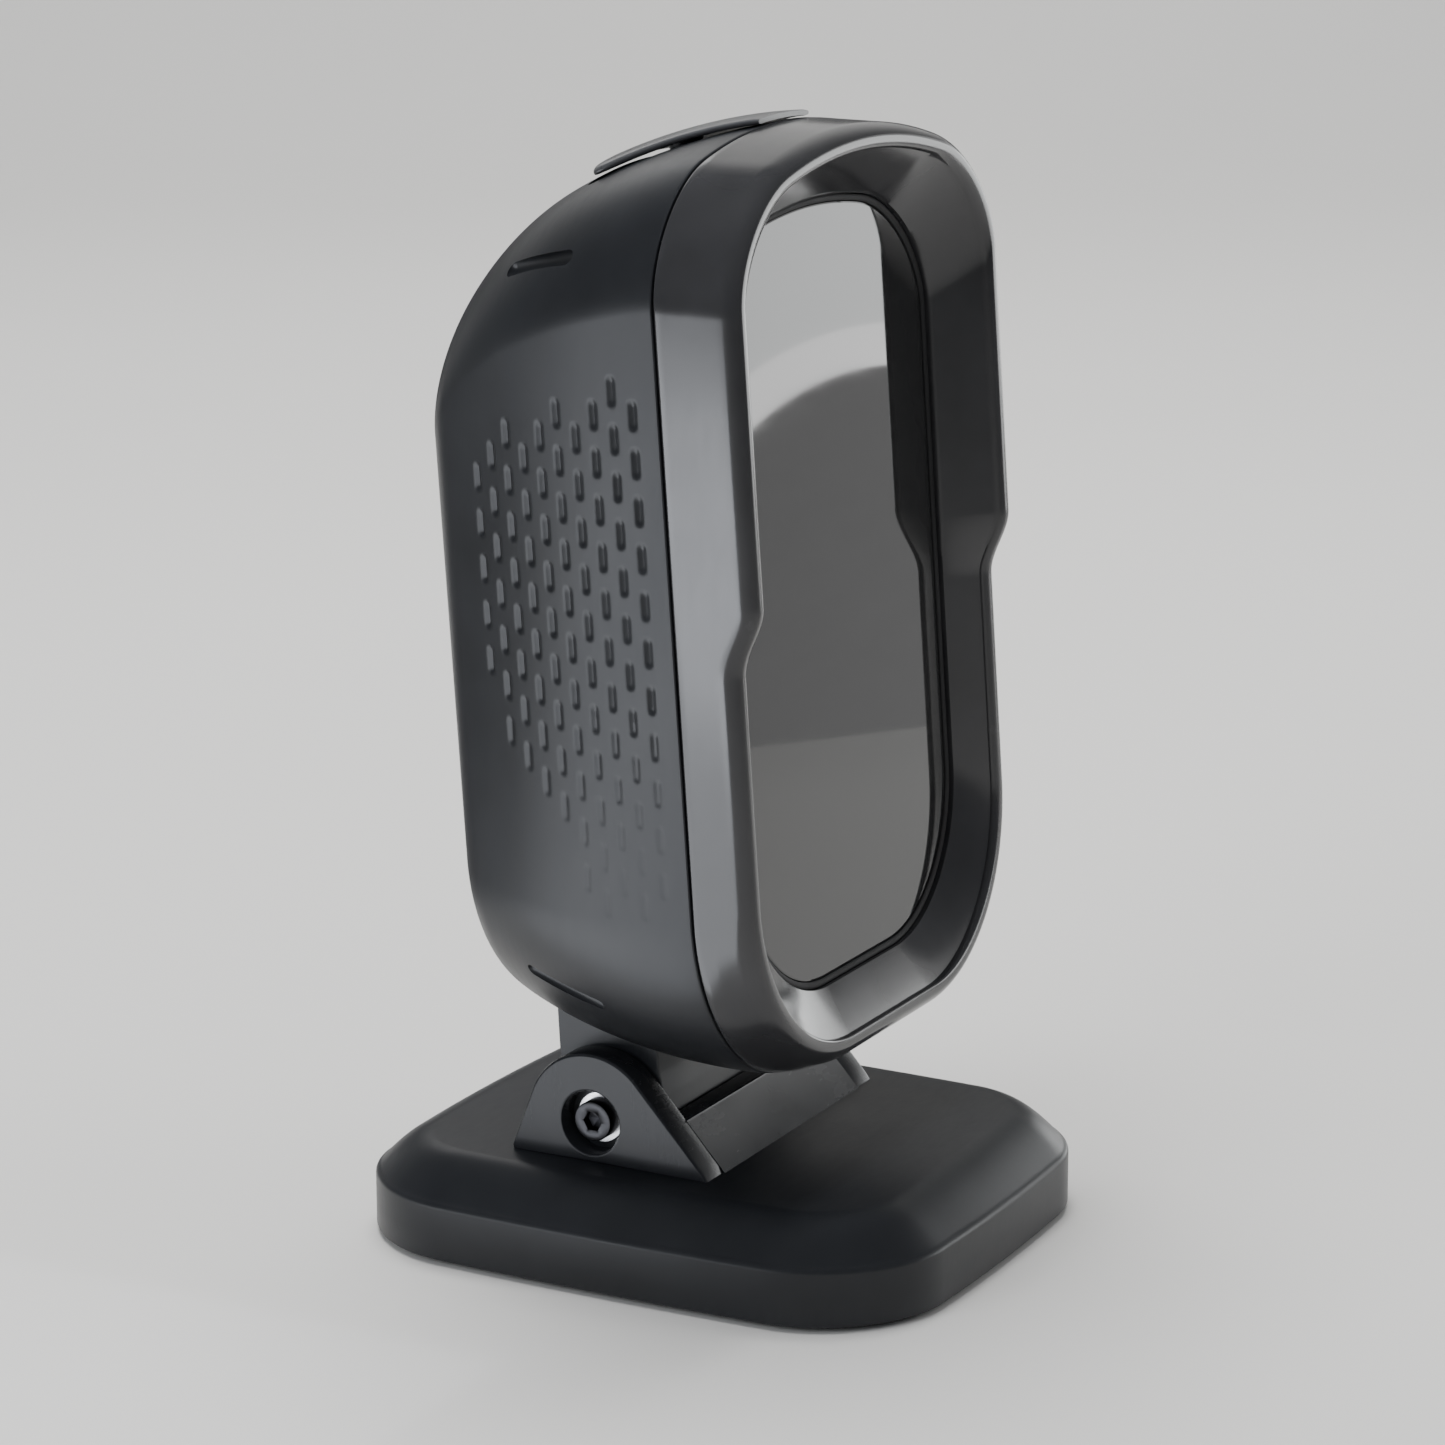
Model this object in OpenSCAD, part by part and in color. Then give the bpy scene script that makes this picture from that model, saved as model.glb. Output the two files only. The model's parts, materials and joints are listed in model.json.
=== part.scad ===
// Hands-free presentation barcode scanner: a tall scan head that tilts on a weighted desk base.
// Millimetres. +Z is up and the origin is the centre of the base's underside.
// The scan window faces -Y, and the head tilts about an axis along X.

/* [Base] */
// Width of the base where its sides bulge most
base_w = 73.8; // [72:0.2:76]
// Depth of the base where its ends bulge most
base_l = 85.8; // [84:0.2:88]
// Corner radius of the base outline
base_corner = 16.5; // [14:0.5:18]
// Height of the upright rim
base_rim_h = 8.8; // [8:0.2:9.4]
// Height of the raised deck that carries the hinge
deck_z = 13.9; // [13.6:0.1:14.2]
// Thickness of the base cover
base_wall = 2.0; // [1.6:0.1:2.2]
// Thickness of the steel ballast plate
ballast_t = 4.0; // [3:0.5:4]

/* [Hinge] */
// Depth position of the tilt axis
hinge_y = 7.3; // [7:0.1:8]
// Height of the tilt axis
hinge_z = 19.4; // [19.2:0.1:19.8]
// Radius of the round top of the hinge bracket
ear_r = 9.6; // [9.4:0.1:9.7]
// Overall width of the hinge bracket
bracket_w = 49.3; // [49:0.1:50]
// Thickness of each bracket ear
ear_t = 4.8; // [4.6:0.1:5]
// Front foot of the bracket
bracket_front_y = -10.7; // [-11:0.1:-10.4]
// Back foot of the bracket
bracket_back_y = 19.7; // [19.4:0.1:20]
// Radius of the neck's barrel
barrel_r = 9.0; // [8.6:0.1:9]
// Backward lean of the head at rest, in degrees
head_lean = 4; // [3:0.5:5]

/* [Scan head] */
// Width of the head at the parting line
head_w = 77.6; // [76:0.2:78]
// Height above the tilt axis of the head's underside
head_bottom = 6.7; // [6.6:0.1:7]
// Height above the tilt axis of the head's top at the parting line
head_top = 131.0; // [130:0.2:132]
// Distance of the parting line in front of the tilt axis
part_v = -25.5; // [-26:0.1:-25]
// Distance of the back face behind the tilt axis
back_v = 17.1; // [16.8:0.1:17.4]
// Distance of the upper front rim in front of the tilt axis
front_upper_v = -37.4; // [-38:0.1:-37]
// Distance of the lower front rim in front of the tilt axis
front_lower_v = -34.3; // [-34.6:0.1:-34]
// Height above the tilt axis of the step between upper and lower rim
step_w = 69; // [60:1:80]
// Wall thickness of the head shells
shell_wall = 2.0; // [1.8:0.1:2.2]

/* [Window] */
// Distance of the window's front face in front of the tilt axis
window_v = -28.8; // [-29.2:0.1:-28.4]
// Width of the bezel beside the window
side_inset = 7.5; // [7.2:0.1:7.8]
// Width of the bezel above and below the window
end_inset = 9.5; // [9:0.1:10]
// Thickness of the window pane
window_t = 1.5; // [1.2:0.1:1.6]

/* [Press bar] */
// Width of the press bar at its front end, where it is hinged
bar_front_w = 14; // [12:1:20]
// Width of the press bar at its free rear end
bar_rear_w = 42; // [36:1:44]
// Length of the press bar from front to back
bar_l = 19; // [18:0.5:20]
// Thickness of the press bar
bar_t = 0.8; // [0.8:0.1:1]

/* [Hidden] */
eps = 0.05;

// Vertical stack of the base
pad_t = 1.2;
plate_t = 2.0;
plate_top = pad_t + plate_t;
ballast_top = plate_top + ballast_t;
cover_bottom = 0.8;
bulge = 0.04;

// Hinge hardware
screw_r = 1.5;
screw_clear_r = 1.55;
screw_head_r = 2.75;
screw_head_h = 2.3;
hex_across_corners = 2.9;
ear_recess_r = 4.4;
ear_web = 1.4;
washer_t = 0.5;
bush_r = 2.5;
insert_r = 2.4;
insert_l = 7;
trough_r = barrel_r + 0.4;
ear_x = bracket_w / 2;
ear_in_x = ear_x - ear_t;
neck_x = ear_in_x - 0.5;
bracket_screw_x = 17;
bracket_screw_dy = 8.6;
bracket_screw_r = 1.25;

// Scan head
head_x = head_w / 2;
head_len = back_v - part_v;
part_gap = 0.2;
front_top_drop = 1.1;
front_bottom_rise = 2.3;
step_h = 9;
crown_r = 90;
side_arc_r = 76;
back_round = 6;
top_fall_v = 43;
top_fall_w = 26.6;
top_power = 1.74;
under_rise_v = 42;
under_rise_w = 10;
under_power = 1.44;
corner_segments = 8;
arch_segments = 24;
depth_steps = 11;
well_r = 4.2;
well_bore_r = 3.1;
well_floor = 8;
well_seat = 10;

// Board stack, as distances from the tilt axis along the head's depth
baffle_front = part_v + 0.2;
led_front = -17.5;
board_t = 1.4;
chassis_front = -16;
chassis_t = 2;
imager_front = -9;
main_front = -3;
main_w0 = 34;
main_w1 = 100;
lens_w = 68;
post_x = 20;
post_low_w = 40;
post_high_w = 92;
jack_w = 31;
jack_width = 13.6;
jack_height = 11.6;
neck_slot_x = neck_x + 0.3;
neck_front_v = -8;
neck_back_v = 7;
switch_v = -10.5;
switch_w = 112.05;
switch_top = switch_w + board_t + 4.5;
bar_corner = 4;

// ---- shared shapes -----------------------------------------------------

// Places children, drawn in the head's own frame, at the rest tilt
module in_head() {
    translate([0, hinge_y, hinge_z]) rotate([-head_lean, 0, 0]) children();
}

// Extrudes a front-view outline between two depths
module slab(v0, v1) {
    translate([0, v1, 0]) rotate([90, 0, 0]) linear_extrude(v1 - v0) children();
}

// Cylinder along X
module rod_x(x0, x1, r, fn = 48) {
    translate([x0, 0, 0]) rotate([0, 90, 0]) cylinder(r = r, h = x1 - x0, $fn = fn);
}

// Cylinder along the head's depth
module rod_v(v0, v1, r, fn = 48) {
    translate([0, v1, 0]) rotate([90, 0, 0]) cylinder(r = r, h = v1 - v0, $fn = fn);
}

// Box given by its low and high corners
module span(low, high) {
    translate(low) cube(high - low);
}

module mirrored_x() {
    children();
    mirror([1, 0, 0]) children();
}

// Closed skin through a list of rings with equal point counts.
// With wrap the last ring joins the first, otherwise both ends are capped.
module loft(rings, wrap = false) {
    n = len(rings[0]);
    m = len(rings);
    side = [
        for (j = [0 : m - (wrap ? 1 : 2)], i = [0 : n - 1])
            let (a = j * n, b = ((j + 1) % m) * n, k = (i + 1) % n)
                each [[a + i, b + i, b + k], [a + i, b + k, a + k]]
    ];
    caps = wrap ? [] : [[for (i = [0 : n - 1]) i], [for (i = [n - 1 : -1 : 0]) (m - 1) * n + i]];
    polyhedron(points = [for (r = rings) each r], faces = concat(side, caps), convexity = 8);
}

// ---- base --------------------------------------------------------------

// Rounded rectangle with bulging sides, pulled in by inset
function base_outline(inset, steps = 9, side_steps = 5) =
    let (
        hx = base_w / 2 / (1 + bulge) - inset,
        hy = base_l / 2 / (1 + bulge) - inset,
        r = max(base_corner - inset, 3),
        centre = [[hx - r, hy - r], [r - hx, hy - r], [r - hx, r - hy], [hx - r, r - hy]],
        plain = [
            for (q = [0 : 3])
                let (
                    arc = [
                        for (i = [0 : steps])
                            let (a = q * 90 + i * 90 / steps) centre[q] + r * [cos(a), sin(a)]
                    ],
                    near = arc[steps],
                    far = centre[(q + 1) % 4] + r * [cos(q * 90 + 90), sin(q * 90 + 90)],
                    side = [for (i = [1 : side_steps]) near + (far - near) * i / (side_steps + 1)]
                )
                each concat(arc, side)
        ]
    )
    [
        for (p = plain)
            [p[0] * (1 + bulge * (1 - pow(p[1] / hy, 2))), p[1] * (1 + bulge * (1 - pow(p[0] / hx, 2)))]
    ];

function at_z(outline, z) = [for (p = outline) [p[0], p[1], z]];

// Inset and height along the slope from the rim to the deck
function slope_ring(s, wall) =
    let (
        inset = 0.5 + 7.5 * s,
        rise = (deck_z - base_rim_h) * sin(90 * s)
    )
    at_z(base_outline(inset + wall * (1 - s) * 0.8), base_rim_h + rise - wall);

module foot_pad() {
    color([0.09, 0.09, 0.1]) linear_extrude(pad_t) polygon(base_outline(5));
}

module base_plate() {
    color([0.12, 0.12, 0.13]) difference() {
        translate([0, 0, pad_t]) linear_extrude(plate_t) polygon(base_outline(base_wall + 0.3));
        bracket_screw_places() {
            translate([0, 0, pad_t - 1]) cylinder(r = 2.6, h = 1 + 1.5, $fn = 32);
            translate([0, 0, pad_t]) cylinder(r = bracket_screw_r + 0.15, h = 5, $fn = 32);
        }
    }
}

module ballast_plate() {
    color([0.55, 0.56, 0.58]) difference() {
        translate([0, 0, plate_top]) linear_extrude(ballast_t) polygon(base_outline(9));
        bracket_screw_places()
            translate([0, 0, plate_top - 1]) cylinder(r = bracket_screw_r + 0.15, h = 8, $fn = 32);
    }
}

module bracket_screw_places() {
    for (x = [-1, 1], y = [-1, 1])
        translate([x * bracket_screw_x, hinge_y + y * bracket_screw_dy, 0]) children();
}

module base_cover() {
    steps = 5;
    outer = [
        for (s = [steps : -1 : 0]) slope_ring(s / steps, 0)
    ];
    inner = [for (s = [0 : steps]) slope_ring(s / steps, base_wall)];
    rings = concat(
        outer,
        [at_z(base_outline(0), base_rim_h - 0.5), at_z(base_outline(0), cover_bottom)],
        [at_z(base_outline(base_wall), cover_bottom), at_z(base_outline(base_wall), base_rim_h - base_wall)],
        inner
    );
    color([0.13, 0.13, 0.14]) difference() {
        loft([for (r = rings) [for (i = [len(r) - 1 : -1 : 0]) r[i]]]);
        span([-ear_in_x - 2.7, hinge_y - bracket_screw_dy - 2.6, ballast_top],
             [ear_in_x + 2.7, hinge_y + bracket_screw_dy + 1.9, deck_z + 1]);
    }
}

// ---- hinge -------------------------------------------------------------

// Point where a line from a foot point touches the round top
function touch_point(foot_y, side) =
    let (
        dy = foot_y - hinge_y,
        dz = deck_z - hinge_z,
        d = norm([dy, dz]),
        a = atan2(dz, dy) - side * acos(ear_r / d)
    )
    [hinge_y + ear_r * cos(a), hinge_z + ear_r * sin(a)];

// Side view of the bracket: a round top with a straight flank to each foot
module bracket_profile() {
    polygon([
        [bracket_front_y, deck_z], touch_point(bracket_front_y, 1), [hinge_y, hinge_z],
        touch_point(bracket_back_y, -1), [bracket_back_y, deck_z]
    ]);
    translate([hinge_y, hinge_z]) circle(r = ear_r, $fn = 96);
}

module hinge_bracket() {
    block_front = hinge_y - bracket_screw_dy - 2.3;
    block_back = hinge_y + bracket_screw_dy + 1.6;
    color([0.15, 0.15, 0.16]) difference() {
        union() {
            intersection() {
                translate([-ear_x, 0, 0]) rotate([90, 0, 90]) linear_extrude(bracket_w) bracket_profile();
                span([-ear_x - 1, -40, deck_z], [ear_x + 1, 60, 60]);
            }
            span([-ear_in_x - 2.4, block_front, ballast_top], [ear_in_x + 2.4, block_back, deck_z]);
        }
        span([-ear_in_x, hinge_y - 30, hinge_z + 1], [ear_in_x, hinge_y, 60]);
        span([-ear_in_x, hinge_y - eps, hinge_z - 1.5], [ear_in_x, hinge_y + 30, 60]);
        translate([0, hinge_y, hinge_z]) {
            rod_x(-ear_in_x, ear_in_x, trough_r, 96);
            rod_x(-ear_x - 1, ear_x + 1, bush_r);
            mirrored_x() rod_x(ear_in_x + ear_web, ear_x + 1, ear_recess_r);
        }
        bracket_screw_places()
            translate([0, 0, ballast_top - 1]) cylinder(r = bracket_screw_r, h = 6, $fn = 32);
    }
}

module bracket_screws() {
    color([0.6, 0.6, 0.62]) bracket_screw_places() difference() {
        union() {
            translate([0, 0, pad_t]) cylinder(r = 2.4, h = 1.5, $fn = 32);
            translate([0, 0, pad_t + 1]) cylinder(r = bracket_screw_r - 0.02, h = 9.8, $fn = 32);
        }
        translate([0, 0, pad_t - 1]) cylinder(r = 0.9, h = 1.8, $fn = 6);
    }
}

module pivot_bushes() {
    color([0.75, 0.6, 0.35]) translate([0, hinge_y, hinge_z]) mirrored_x() difference() {
        rod_x(ear_in_x, ear_in_x + ear_web, bush_r - 0.02);
        rod_x(ear_in_x - 1, ear_in_x + ear_web + 1, screw_clear_r);
    }
}

// Socket-head screw whose shank runs inward from the right ear
module hinge_screw() {
    seat = ear_in_x + ear_web + washer_t;
    color([0.1, 0.1, 0.11]) translate([0, hinge_y, hinge_z]) difference() {
        union() {
            rod_x(seat, seat + screw_head_h, screw_head_r);
            rod_x(neck_x - insert_l + 0.5, seat + 0.5, screw_r);
        }
        rod_x(seat + screw_head_h - 1.4, seat + screw_head_h + 1, hex_across_corners / 2, 6);
    }
}

module hinge_screw_left() { mirror([1, 0, 0]) hinge_screw(); }

module hinge_screw_right() { hinge_screw(); }

module hinge_washers() {
    seat = ear_in_x + ear_web;
    color([0.8, 0.8, 0.82]) translate([0, hinge_y, hinge_z]) mirrored_x() difference() {
        rod_x(seat + 0.03, seat + washer_t - 0.03, 3.5);
        rod_x(seat - 1, seat + washer_t + 1, screw_clear_r);
    }
}

module friction_washers() {
    color([0.85, 0.84, 0.8]) translate([0, hinge_y, hinge_z]) mirrored_x() difference() {
        rod_x(neck_x + 0.05, ear_in_x - 0.05, 6);
        rod_x(neck_x - 1, ear_in_x + 1, screw_clear_r);
    }
}

module neck() {
    color([0.13, 0.13, 0.14]) in_head() difference() {
        union() {
            rod_x(-neck_x, neck_x, barrel_r, 96);
            span([-neck_x, neck_front_v, 0], [neck_x, neck_back_v, 20]);
            span([-neck_x + 2, chassis_front + chassis_t + 0.1, 12], [neck_x - 2, neck_front_v + 4, 32]);
        }
        rod_x(-neck_x - 1, neck_x + 1, insert_r + 0.02);
        neck_screw_places() rod_v(chassis_front, -4, screw_r + 0.02, 32);
    }
}

module neck_screw_places() {
    for (x = [-10, 10]) translate([x, 0, 26]) children();
}

module neck_inserts() {
    color([0.8, 0.65, 0.35]) translate([0, hinge_y, hinge_z]) mirrored_x() difference() {
        rod_x(neck_x - insert_l, neck_x, insert_r);
        rod_x(neck_x - insert_l - 1, neck_x + 1, screw_clear_r);
    }
}

module neck_screws() {
    color([0.6, 0.6, 0.62]) in_head() neck_screw_places() difference() {
        union() {
            rod_v(chassis_front, -6, screw_r, 32);
            rod_v(chassis_front - 1.4, chassis_front, 2.6, 32);
        }
        rod_v(chassis_front - 2, chassis_front - 0.6, 1.1, 6);
    }
}

// ---- scan head shells --------------------------------------------------

// How far a rounded edge has fallen at a fraction e of its run
function fall(e, power) = 1 - pow(1 - pow(min(max(e, 0), 1), power), 1 / power);

function half_width(v) =
    head_x - pow(max(v - part_v, 0), 2) / (2 * side_arc_r)
    - (back_round - sqrt(max(pow(back_round, 2) - pow(max(v - back_v + back_round, 0), 2), 0)));
function depth_fraction(v) = min(max((v - part_v) / head_len, 0), 1);
function front_fraction(v) = max((part_v - v) / (part_v - front_upper_v), 0);
function top_height(v) =
    head_top - front_top_drop * front_fraction(v)
    - top_fall_w * fall((v - back_v + top_fall_v) / top_fall_v, top_power);
function under_height(v) =
    head_bottom + front_bottom_rise * front_fraction(v)
    + under_rise_w * fall((v - back_v + under_rise_v) / under_rise_v, under_power);
function top_corner_x(v) = min(16 + 8 * depth_fraction(v), half_width(v));
function top_corner_w(v) = 12 + 1.3 * depth_fraction(v);
function under_corner(v) = min(26 - 5.6 * depth_fraction(v), half_width(v));

// Drop of the crowned top at a distance x from the middle
function crown_drop(x, a, rx, rw) =
    let (e = min(max((abs(x) - (a - rx)) / rx, 0), 1))
        x * x / (2 * crown_r) + rw * (1 - sqrt(1 - e * e));

// Front-view outline with its left side, underside, right side and crowned top.
// The straight sides carry extra points so that the front rim can step.
function outline(a, low, top, rb, rx, rw) =
    let (
        n = corner_segments,
        side_top = top - crown_drop(a, a, rx, rw),
        steps = [for (i = [0 : 6]) step_w - step_h / 2 + i * step_h / 6],
        right = [
            [for (i = [0 : n]) [a - rb + rb * sin(90 * i / n), low + rb - rb * cos(90 * i / n)]],
            [for (w = steps) if (w > low + rb && w < side_top) [a, w]],
        ],
        half = concat(right[0], right[1]),
        arch = [
            for (i = [0 : arch_segments])
                let (x = a * cos(180 * i / arch_segments)) [x, top - crown_drop(x, a, rx, rw)]
        ]
    )
    concat(half, arch, [for (i = [len(half) - 1 : -1 : 0]) [-half[i][0], half[i][1]]]);

// Head outline at depth v, pulled in evenly by inset
function head_outline(v, inset) =
    outline(
        half_width(v) - inset, under_height(v) + inset, top_height(v) - inset,
        max(under_corner(v) - inset, 4), max(top_corner_x(v) - inset, 4), max(top_corner_w(v) - inset, 4)
    );

// Head outline at the front, pulled in by side and end amounts
function bezel_outline(side, end) =
    let (v = (part_v + front_upper_v) / 2)
        outline(
            head_x - side, under_height(v) + end, top_height(v) - end,
            26 - side * 0.65, 16 + side * 0.13, 12
        );

function at_v(points, v) = [for (p = points) [p[0], v, p[1]]];

// Depth of the front rim at a height: the lower part steps back on an S curve
function rim_v(w) =
    let (s = min(max((step_w + step_h / 2 - w) / step_h, 0), 1))
        front_upper_v + (front_lower_v - front_upper_v) * s * s * (3 - 2 * s);

function on_rim(points, back) = [for (p = points) [p[0], rim_v(p[1]) + back, p[1]]];

module rear_housing() {
    stations = [for (i = [0 : depth_steps]) sin(90 * i / depth_steps)];
    outer = [
        for (i = [depth_steps : -1 : 0])
            let (v = part_v + head_len * stations[i]) at_v(head_outline(v, 0), v)
    ];
    inner = [
        for (i = [0 : depth_steps])
            let (
                v = part_v + head_len * stations[i],
                shifted = part_v + (head_len - shell_wall) * stations[i]
            )
            at_v(head_outline(v, shell_wall), shifted)
    ];
    color([0.14, 0.14, 0.15]) in_head() difference() {
        union() {
            loft(concat(outer, inner));
            housing_screw_places() rod_v(well_floor, back_v - shell_wall / 2, well_r, 48);
        }
        span([-neck_slot_x, neck_front_v - 0.3, 0], [neck_slot_x, neck_back_v + 0.3, 21]);
        span([-jack_width / 2 - 0.2, back_v - 5, jack_w - 0.2],
             [jack_width / 2 + 0.2, back_v + 1, jack_w + jack_height + 0.2]);
        housing_screw_places() {
            rod_v(well_floor - 1, back_v, screw_clear_r + 0.05, 32);
            rod_v(well_seat, back_v + 1, well_bore_r, 48);
        }
        translate([0, switch_v, top_height(switch_v) - 6]) cylinder(r = 3, h = 12, $fn = 32);
    }
}

module housing_screw_places() {
    for (x = [-post_x, post_x], w = [post_low_w, post_high_w]) translate([x * 0.8, 0, w]) children();
}

module housing_screws() {
    color([0.2, 0.2, 0.22]) in_head() housing_screw_places() difference() {
        union() {
            rod_v(0, well_seat + 0.5, screw_r, 32);
            rod_v(well_seat, well_seat + 1.8, 2.6, 32);
        }
        rod_v(well_seat + 0.8, well_seat + 3, 1.1, 6);
    }
}

module front_bezel() {
    tongue = shell_wall + 0.25;
    tongue_end = part_v + 3;
    land = part_v - part_gap;
    rings = [
        at_v(head_outline(tongue_end + 1, tongue), tongue_end),
        at_v(head_outline(part_v, tongue), land),
        at_v(head_outline(part_v, 0), land),
        on_rim(head_outline(part_v - 8, 0), 3),
        on_rim(head_outline(front_upper_v, 0.7), 1),
        on_rim(head_outline(front_upper_v, 2), 0),
        on_rim(bezel_outline(3.2, 3.6), 0.9),
        at_v(bezel_outline(side_inset, end_inset), window_v - 0.9),
        at_v(bezel_outline(side_inset, end_inset), land),
        at_v(head_outline(part_v, tongue + 1.6), land),
        at_v(head_outline(tongue_end + 1, tongue + 1.6), tongue_end)
    ];
    color([0.08, 0.08, 0.09]) in_head() loft(rings, wrap = true);
}

module scan_window() {
    color([0.12, 0.02, 0.03, 0.6]) in_head()
        slab(window_v, window_v + window_t) polygon(bezel_outline(side_inset + 1, end_inset + 1));
}

module window_gasket() {
    color([0.05, 0.05, 0.05]) in_head() slab(window_v - 0.3, part_v - 0.3) difference() {
        polygon(bezel_outline(side_inset + 0.1, end_inset + 0.1));
        polygon(bezel_outline(side_inset + 0.95, end_inset + 0.95));
    }
}

// ---- optics and electronics --------------------------------------------

module light_baffle() {
    color([0.04, 0.04, 0.04]) in_head() slab(baffle_front, led_front - 0.1) difference() {
        translate([-28, 26]) square([56, 84]);
        translate([-26.8, 27.2]) square([53.6, 81.6]);
    }
}

module chassis() {
    color([0.2, 0.2, 0.22]) in_head() difference() {
        union() {
            span([-29, chassis_front, 22], [29, chassis_front + chassis_t, 112]);
            span([-11, chassis_front + eps, 110], [11, -5, 112]);
            board_post_places() rod_v(chassis_front + eps, main_front - eps, 3, 32);
            housing_screw_places() rod_v(chassis_front + eps, well_floor - 0.1, 3, 32);
        }
        translate([0, 0, lens_w]) rod_v(-20, 0, 8.2, 64);
        translate([15, 0, lens_w]) rod_v(-20, 0, 3.6, 32);
        housing_screw_places() rod_v(-1, back_v, screw_r + 0.02, 32);
        board_post_places() rod_v(-9, 0, 1.02, 24);
        neck_screw_places() rod_v(-20, -12, screw_r + 0.1, 32);
    }
}

module board_post_places() {
    for (x = [-23, 23], w = [main_w0 + 4, main_w1 - 4]) translate([x, 0, w]) children();
}

module led_board() {
    color([0.05, 0.3, 0.16]) in_head() difference() {
        span([-27, led_front, 28], [27, led_front + board_t, 108]);
        translate([0, 0, lens_w]) rod_v(-20, -10, 8.2, 64);
        translate([15, 0, lens_w]) rod_v(-20, -10, 3.6, 32);
        for (x = [-10, 10]) translate([x, 0, 26]) rod_v(-20, -10, 3.4, 32);
    }
}

// Rows of light sources above and below the lens
module led_emitters() {
    color([0.95, 0.9, 0.75]) in_head()
        for (x = [-16, -5.4, 5.4, 16], w = [lens_w - 22, lens_w + 22])
            span([x - 1.7, led_front - 1.2, w - 1.7], [x + 1.7, led_front - 0.02, w + 1.7]);
}

module led_diffusers() {
    color([0.9, 0.9, 0.92, 0.7]) in_head()
        for (w = [lens_w - 22, lens_w + 22])
            span([-22, led_front - 3.4, w - 6], [22, led_front - 1.6, w + 6]);
}

module imager_board() {
    color([0.05, 0.3, 0.16]) in_head()
        span([-20, imager_front, lens_w - 14], [20, imager_front + board_t, lens_w + 14]);
}

module image_sensor() {
    color([0.2, 0.2, 0.24]) in_head()
        span([-5, imager_front - 1.2, lens_w - 5], [5, imager_front - 0.02, lens_w + 5]);
}

module lens_barrel() {
    color([0.07, 0.07, 0.08]) in_head() translate([0, 0, lens_w]) difference() {
        union() {
            rod_v(-22, -12.9, 7.2, 64);
            span([-9, -13, -9], [9, imager_front - 0.02, 9]);
        }
        rod_v(-23, -12, 5, 48);
        span([-5.4, -12.5, -5.4], [5.4, imager_front + 1, 5.4]);
    }
}

module lens_glass() {
    color([0.5, 0.6, 0.75, 0.5]) in_head() translate([0, 0, lens_w]) rod_v(-20.5, -17, 4.95, 48);
}

module aimer_module() {
    color([0.7, 0.6, 0.35]) in_head() translate([15, 0, lens_w]) difference() {
        rod_v(-21, imager_front - 0.02, 3.2, 32);
        rod_v(-22, -20, 1.5, 24);
    }
}

module main_board() {
    color([0.05, 0.32, 0.18]) in_head() difference() {
        span([-27, main_front, main_w0], [27, main_front + board_t, main_w1]);
        board_post_places() rod_v(-4, 0, 1.1, 24);
        housing_screw_places() rod_v(-4, 0, 3.4, 32);
    }
}

module decoder_chip() {
    color([0.08, 0.08, 0.09]) in_head() {
        span([-7, main_front + board_t + 0.02, 60], [7, main_front + board_t + 1.4, 74]);
        span([-6, main_front + board_t + 0.02, 80], [4, main_front + board_t + 1.2, 87]);
    }
}

module board_screws() {
    color([0.7, 0.7, 0.72]) in_head() board_post_places() {
        rod_v(-8, main_front + board_t + 0.04, 1, 24);
        rod_v(main_front + board_t + 0.02, main_front + board_t + 1.3, 1.9, 24);
    }
}

module buzzer() {
    color([0.06, 0.06, 0.07]) in_head() translate([12, 0, 82]) difference() {
        rod_v(main_front + board_t + 0.02, main_front + board_t + 6, 5.5, 48);
        rod_v(main_front + board_t + 5, main_front + board_t + 7, 1, 24);
    }
}

// Flat strip folded in an S between the two boards
module ribbon_cable() {
    film = 0.3;
    near = imager_front + board_t + 0.02;
    far = main_front - 0.02;
    color([0.85, 0.85, 0.82]) in_head() translate([-8, 0, 0]) rotate([90, 0, 90]) linear_extrude(16)
        polygon([
            [near, 80], [near, 72], [far - film, 64], [far - film, 56],
            [far, 56], [far, 64.1], [near + film, 72.1], [near + film, 80]
        ]);
}

module interface_jack() {
    hw = jack_width / 2;
    color([0.1, 0.1, 0.11]) in_head() difference() {
        span([-hw, main_front + board_t + 0.02, jack_w], [hw, back_v - 0.3, jack_w + jack_height]);
        span([-hw + 1.2, back_v - 11, jack_w + 1.6], [hw - 1.2, back_v + 1, jack_w + jack_height - 3]);
        span([-3.2, back_v - 11, jack_w + jack_height - 3.2], [3.2, back_v + 1, jack_w + jack_height - 1.2]);
    }
}

module jack_contacts() {
    color([0.85, 0.7, 0.35]) in_head()
        for (i = [0 : 7])
            translate([-4.45 + i * 1.27, 0, 0])
                span([-0.2, back_v - 10.8, jack_w + 1.62], [0.2, back_v - 4, jack_w + 2.4]);
}

// ---- press bar and its switch ------------------------------------------

// Height of the bar's underside above the head's top, growing towards its free end
function bar_lift(v) = 0.2 + 1.1 * (v - part_v) / bar_l;

// Half of the bar's width, which widens towards its free end and rounds off there
function bar_half(v) =
    let (
        s = (v - part_v) / bar_l,
        e = max((v - part_v - bar_l) / bar_corner + 1, 0)
    )
        (bar_front_w + (bar_rear_w - bar_front_w) * s) / 2 - bar_corner * (1 - sqrt(1 - min(e * e, 1)));

// Height of the head's crowned top at a distance x from the middle
function crown_height(x, v) =
    top_height(v) - crown_drop(x, half_width(v), top_corner_x(v), top_corner_w(v));

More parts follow.
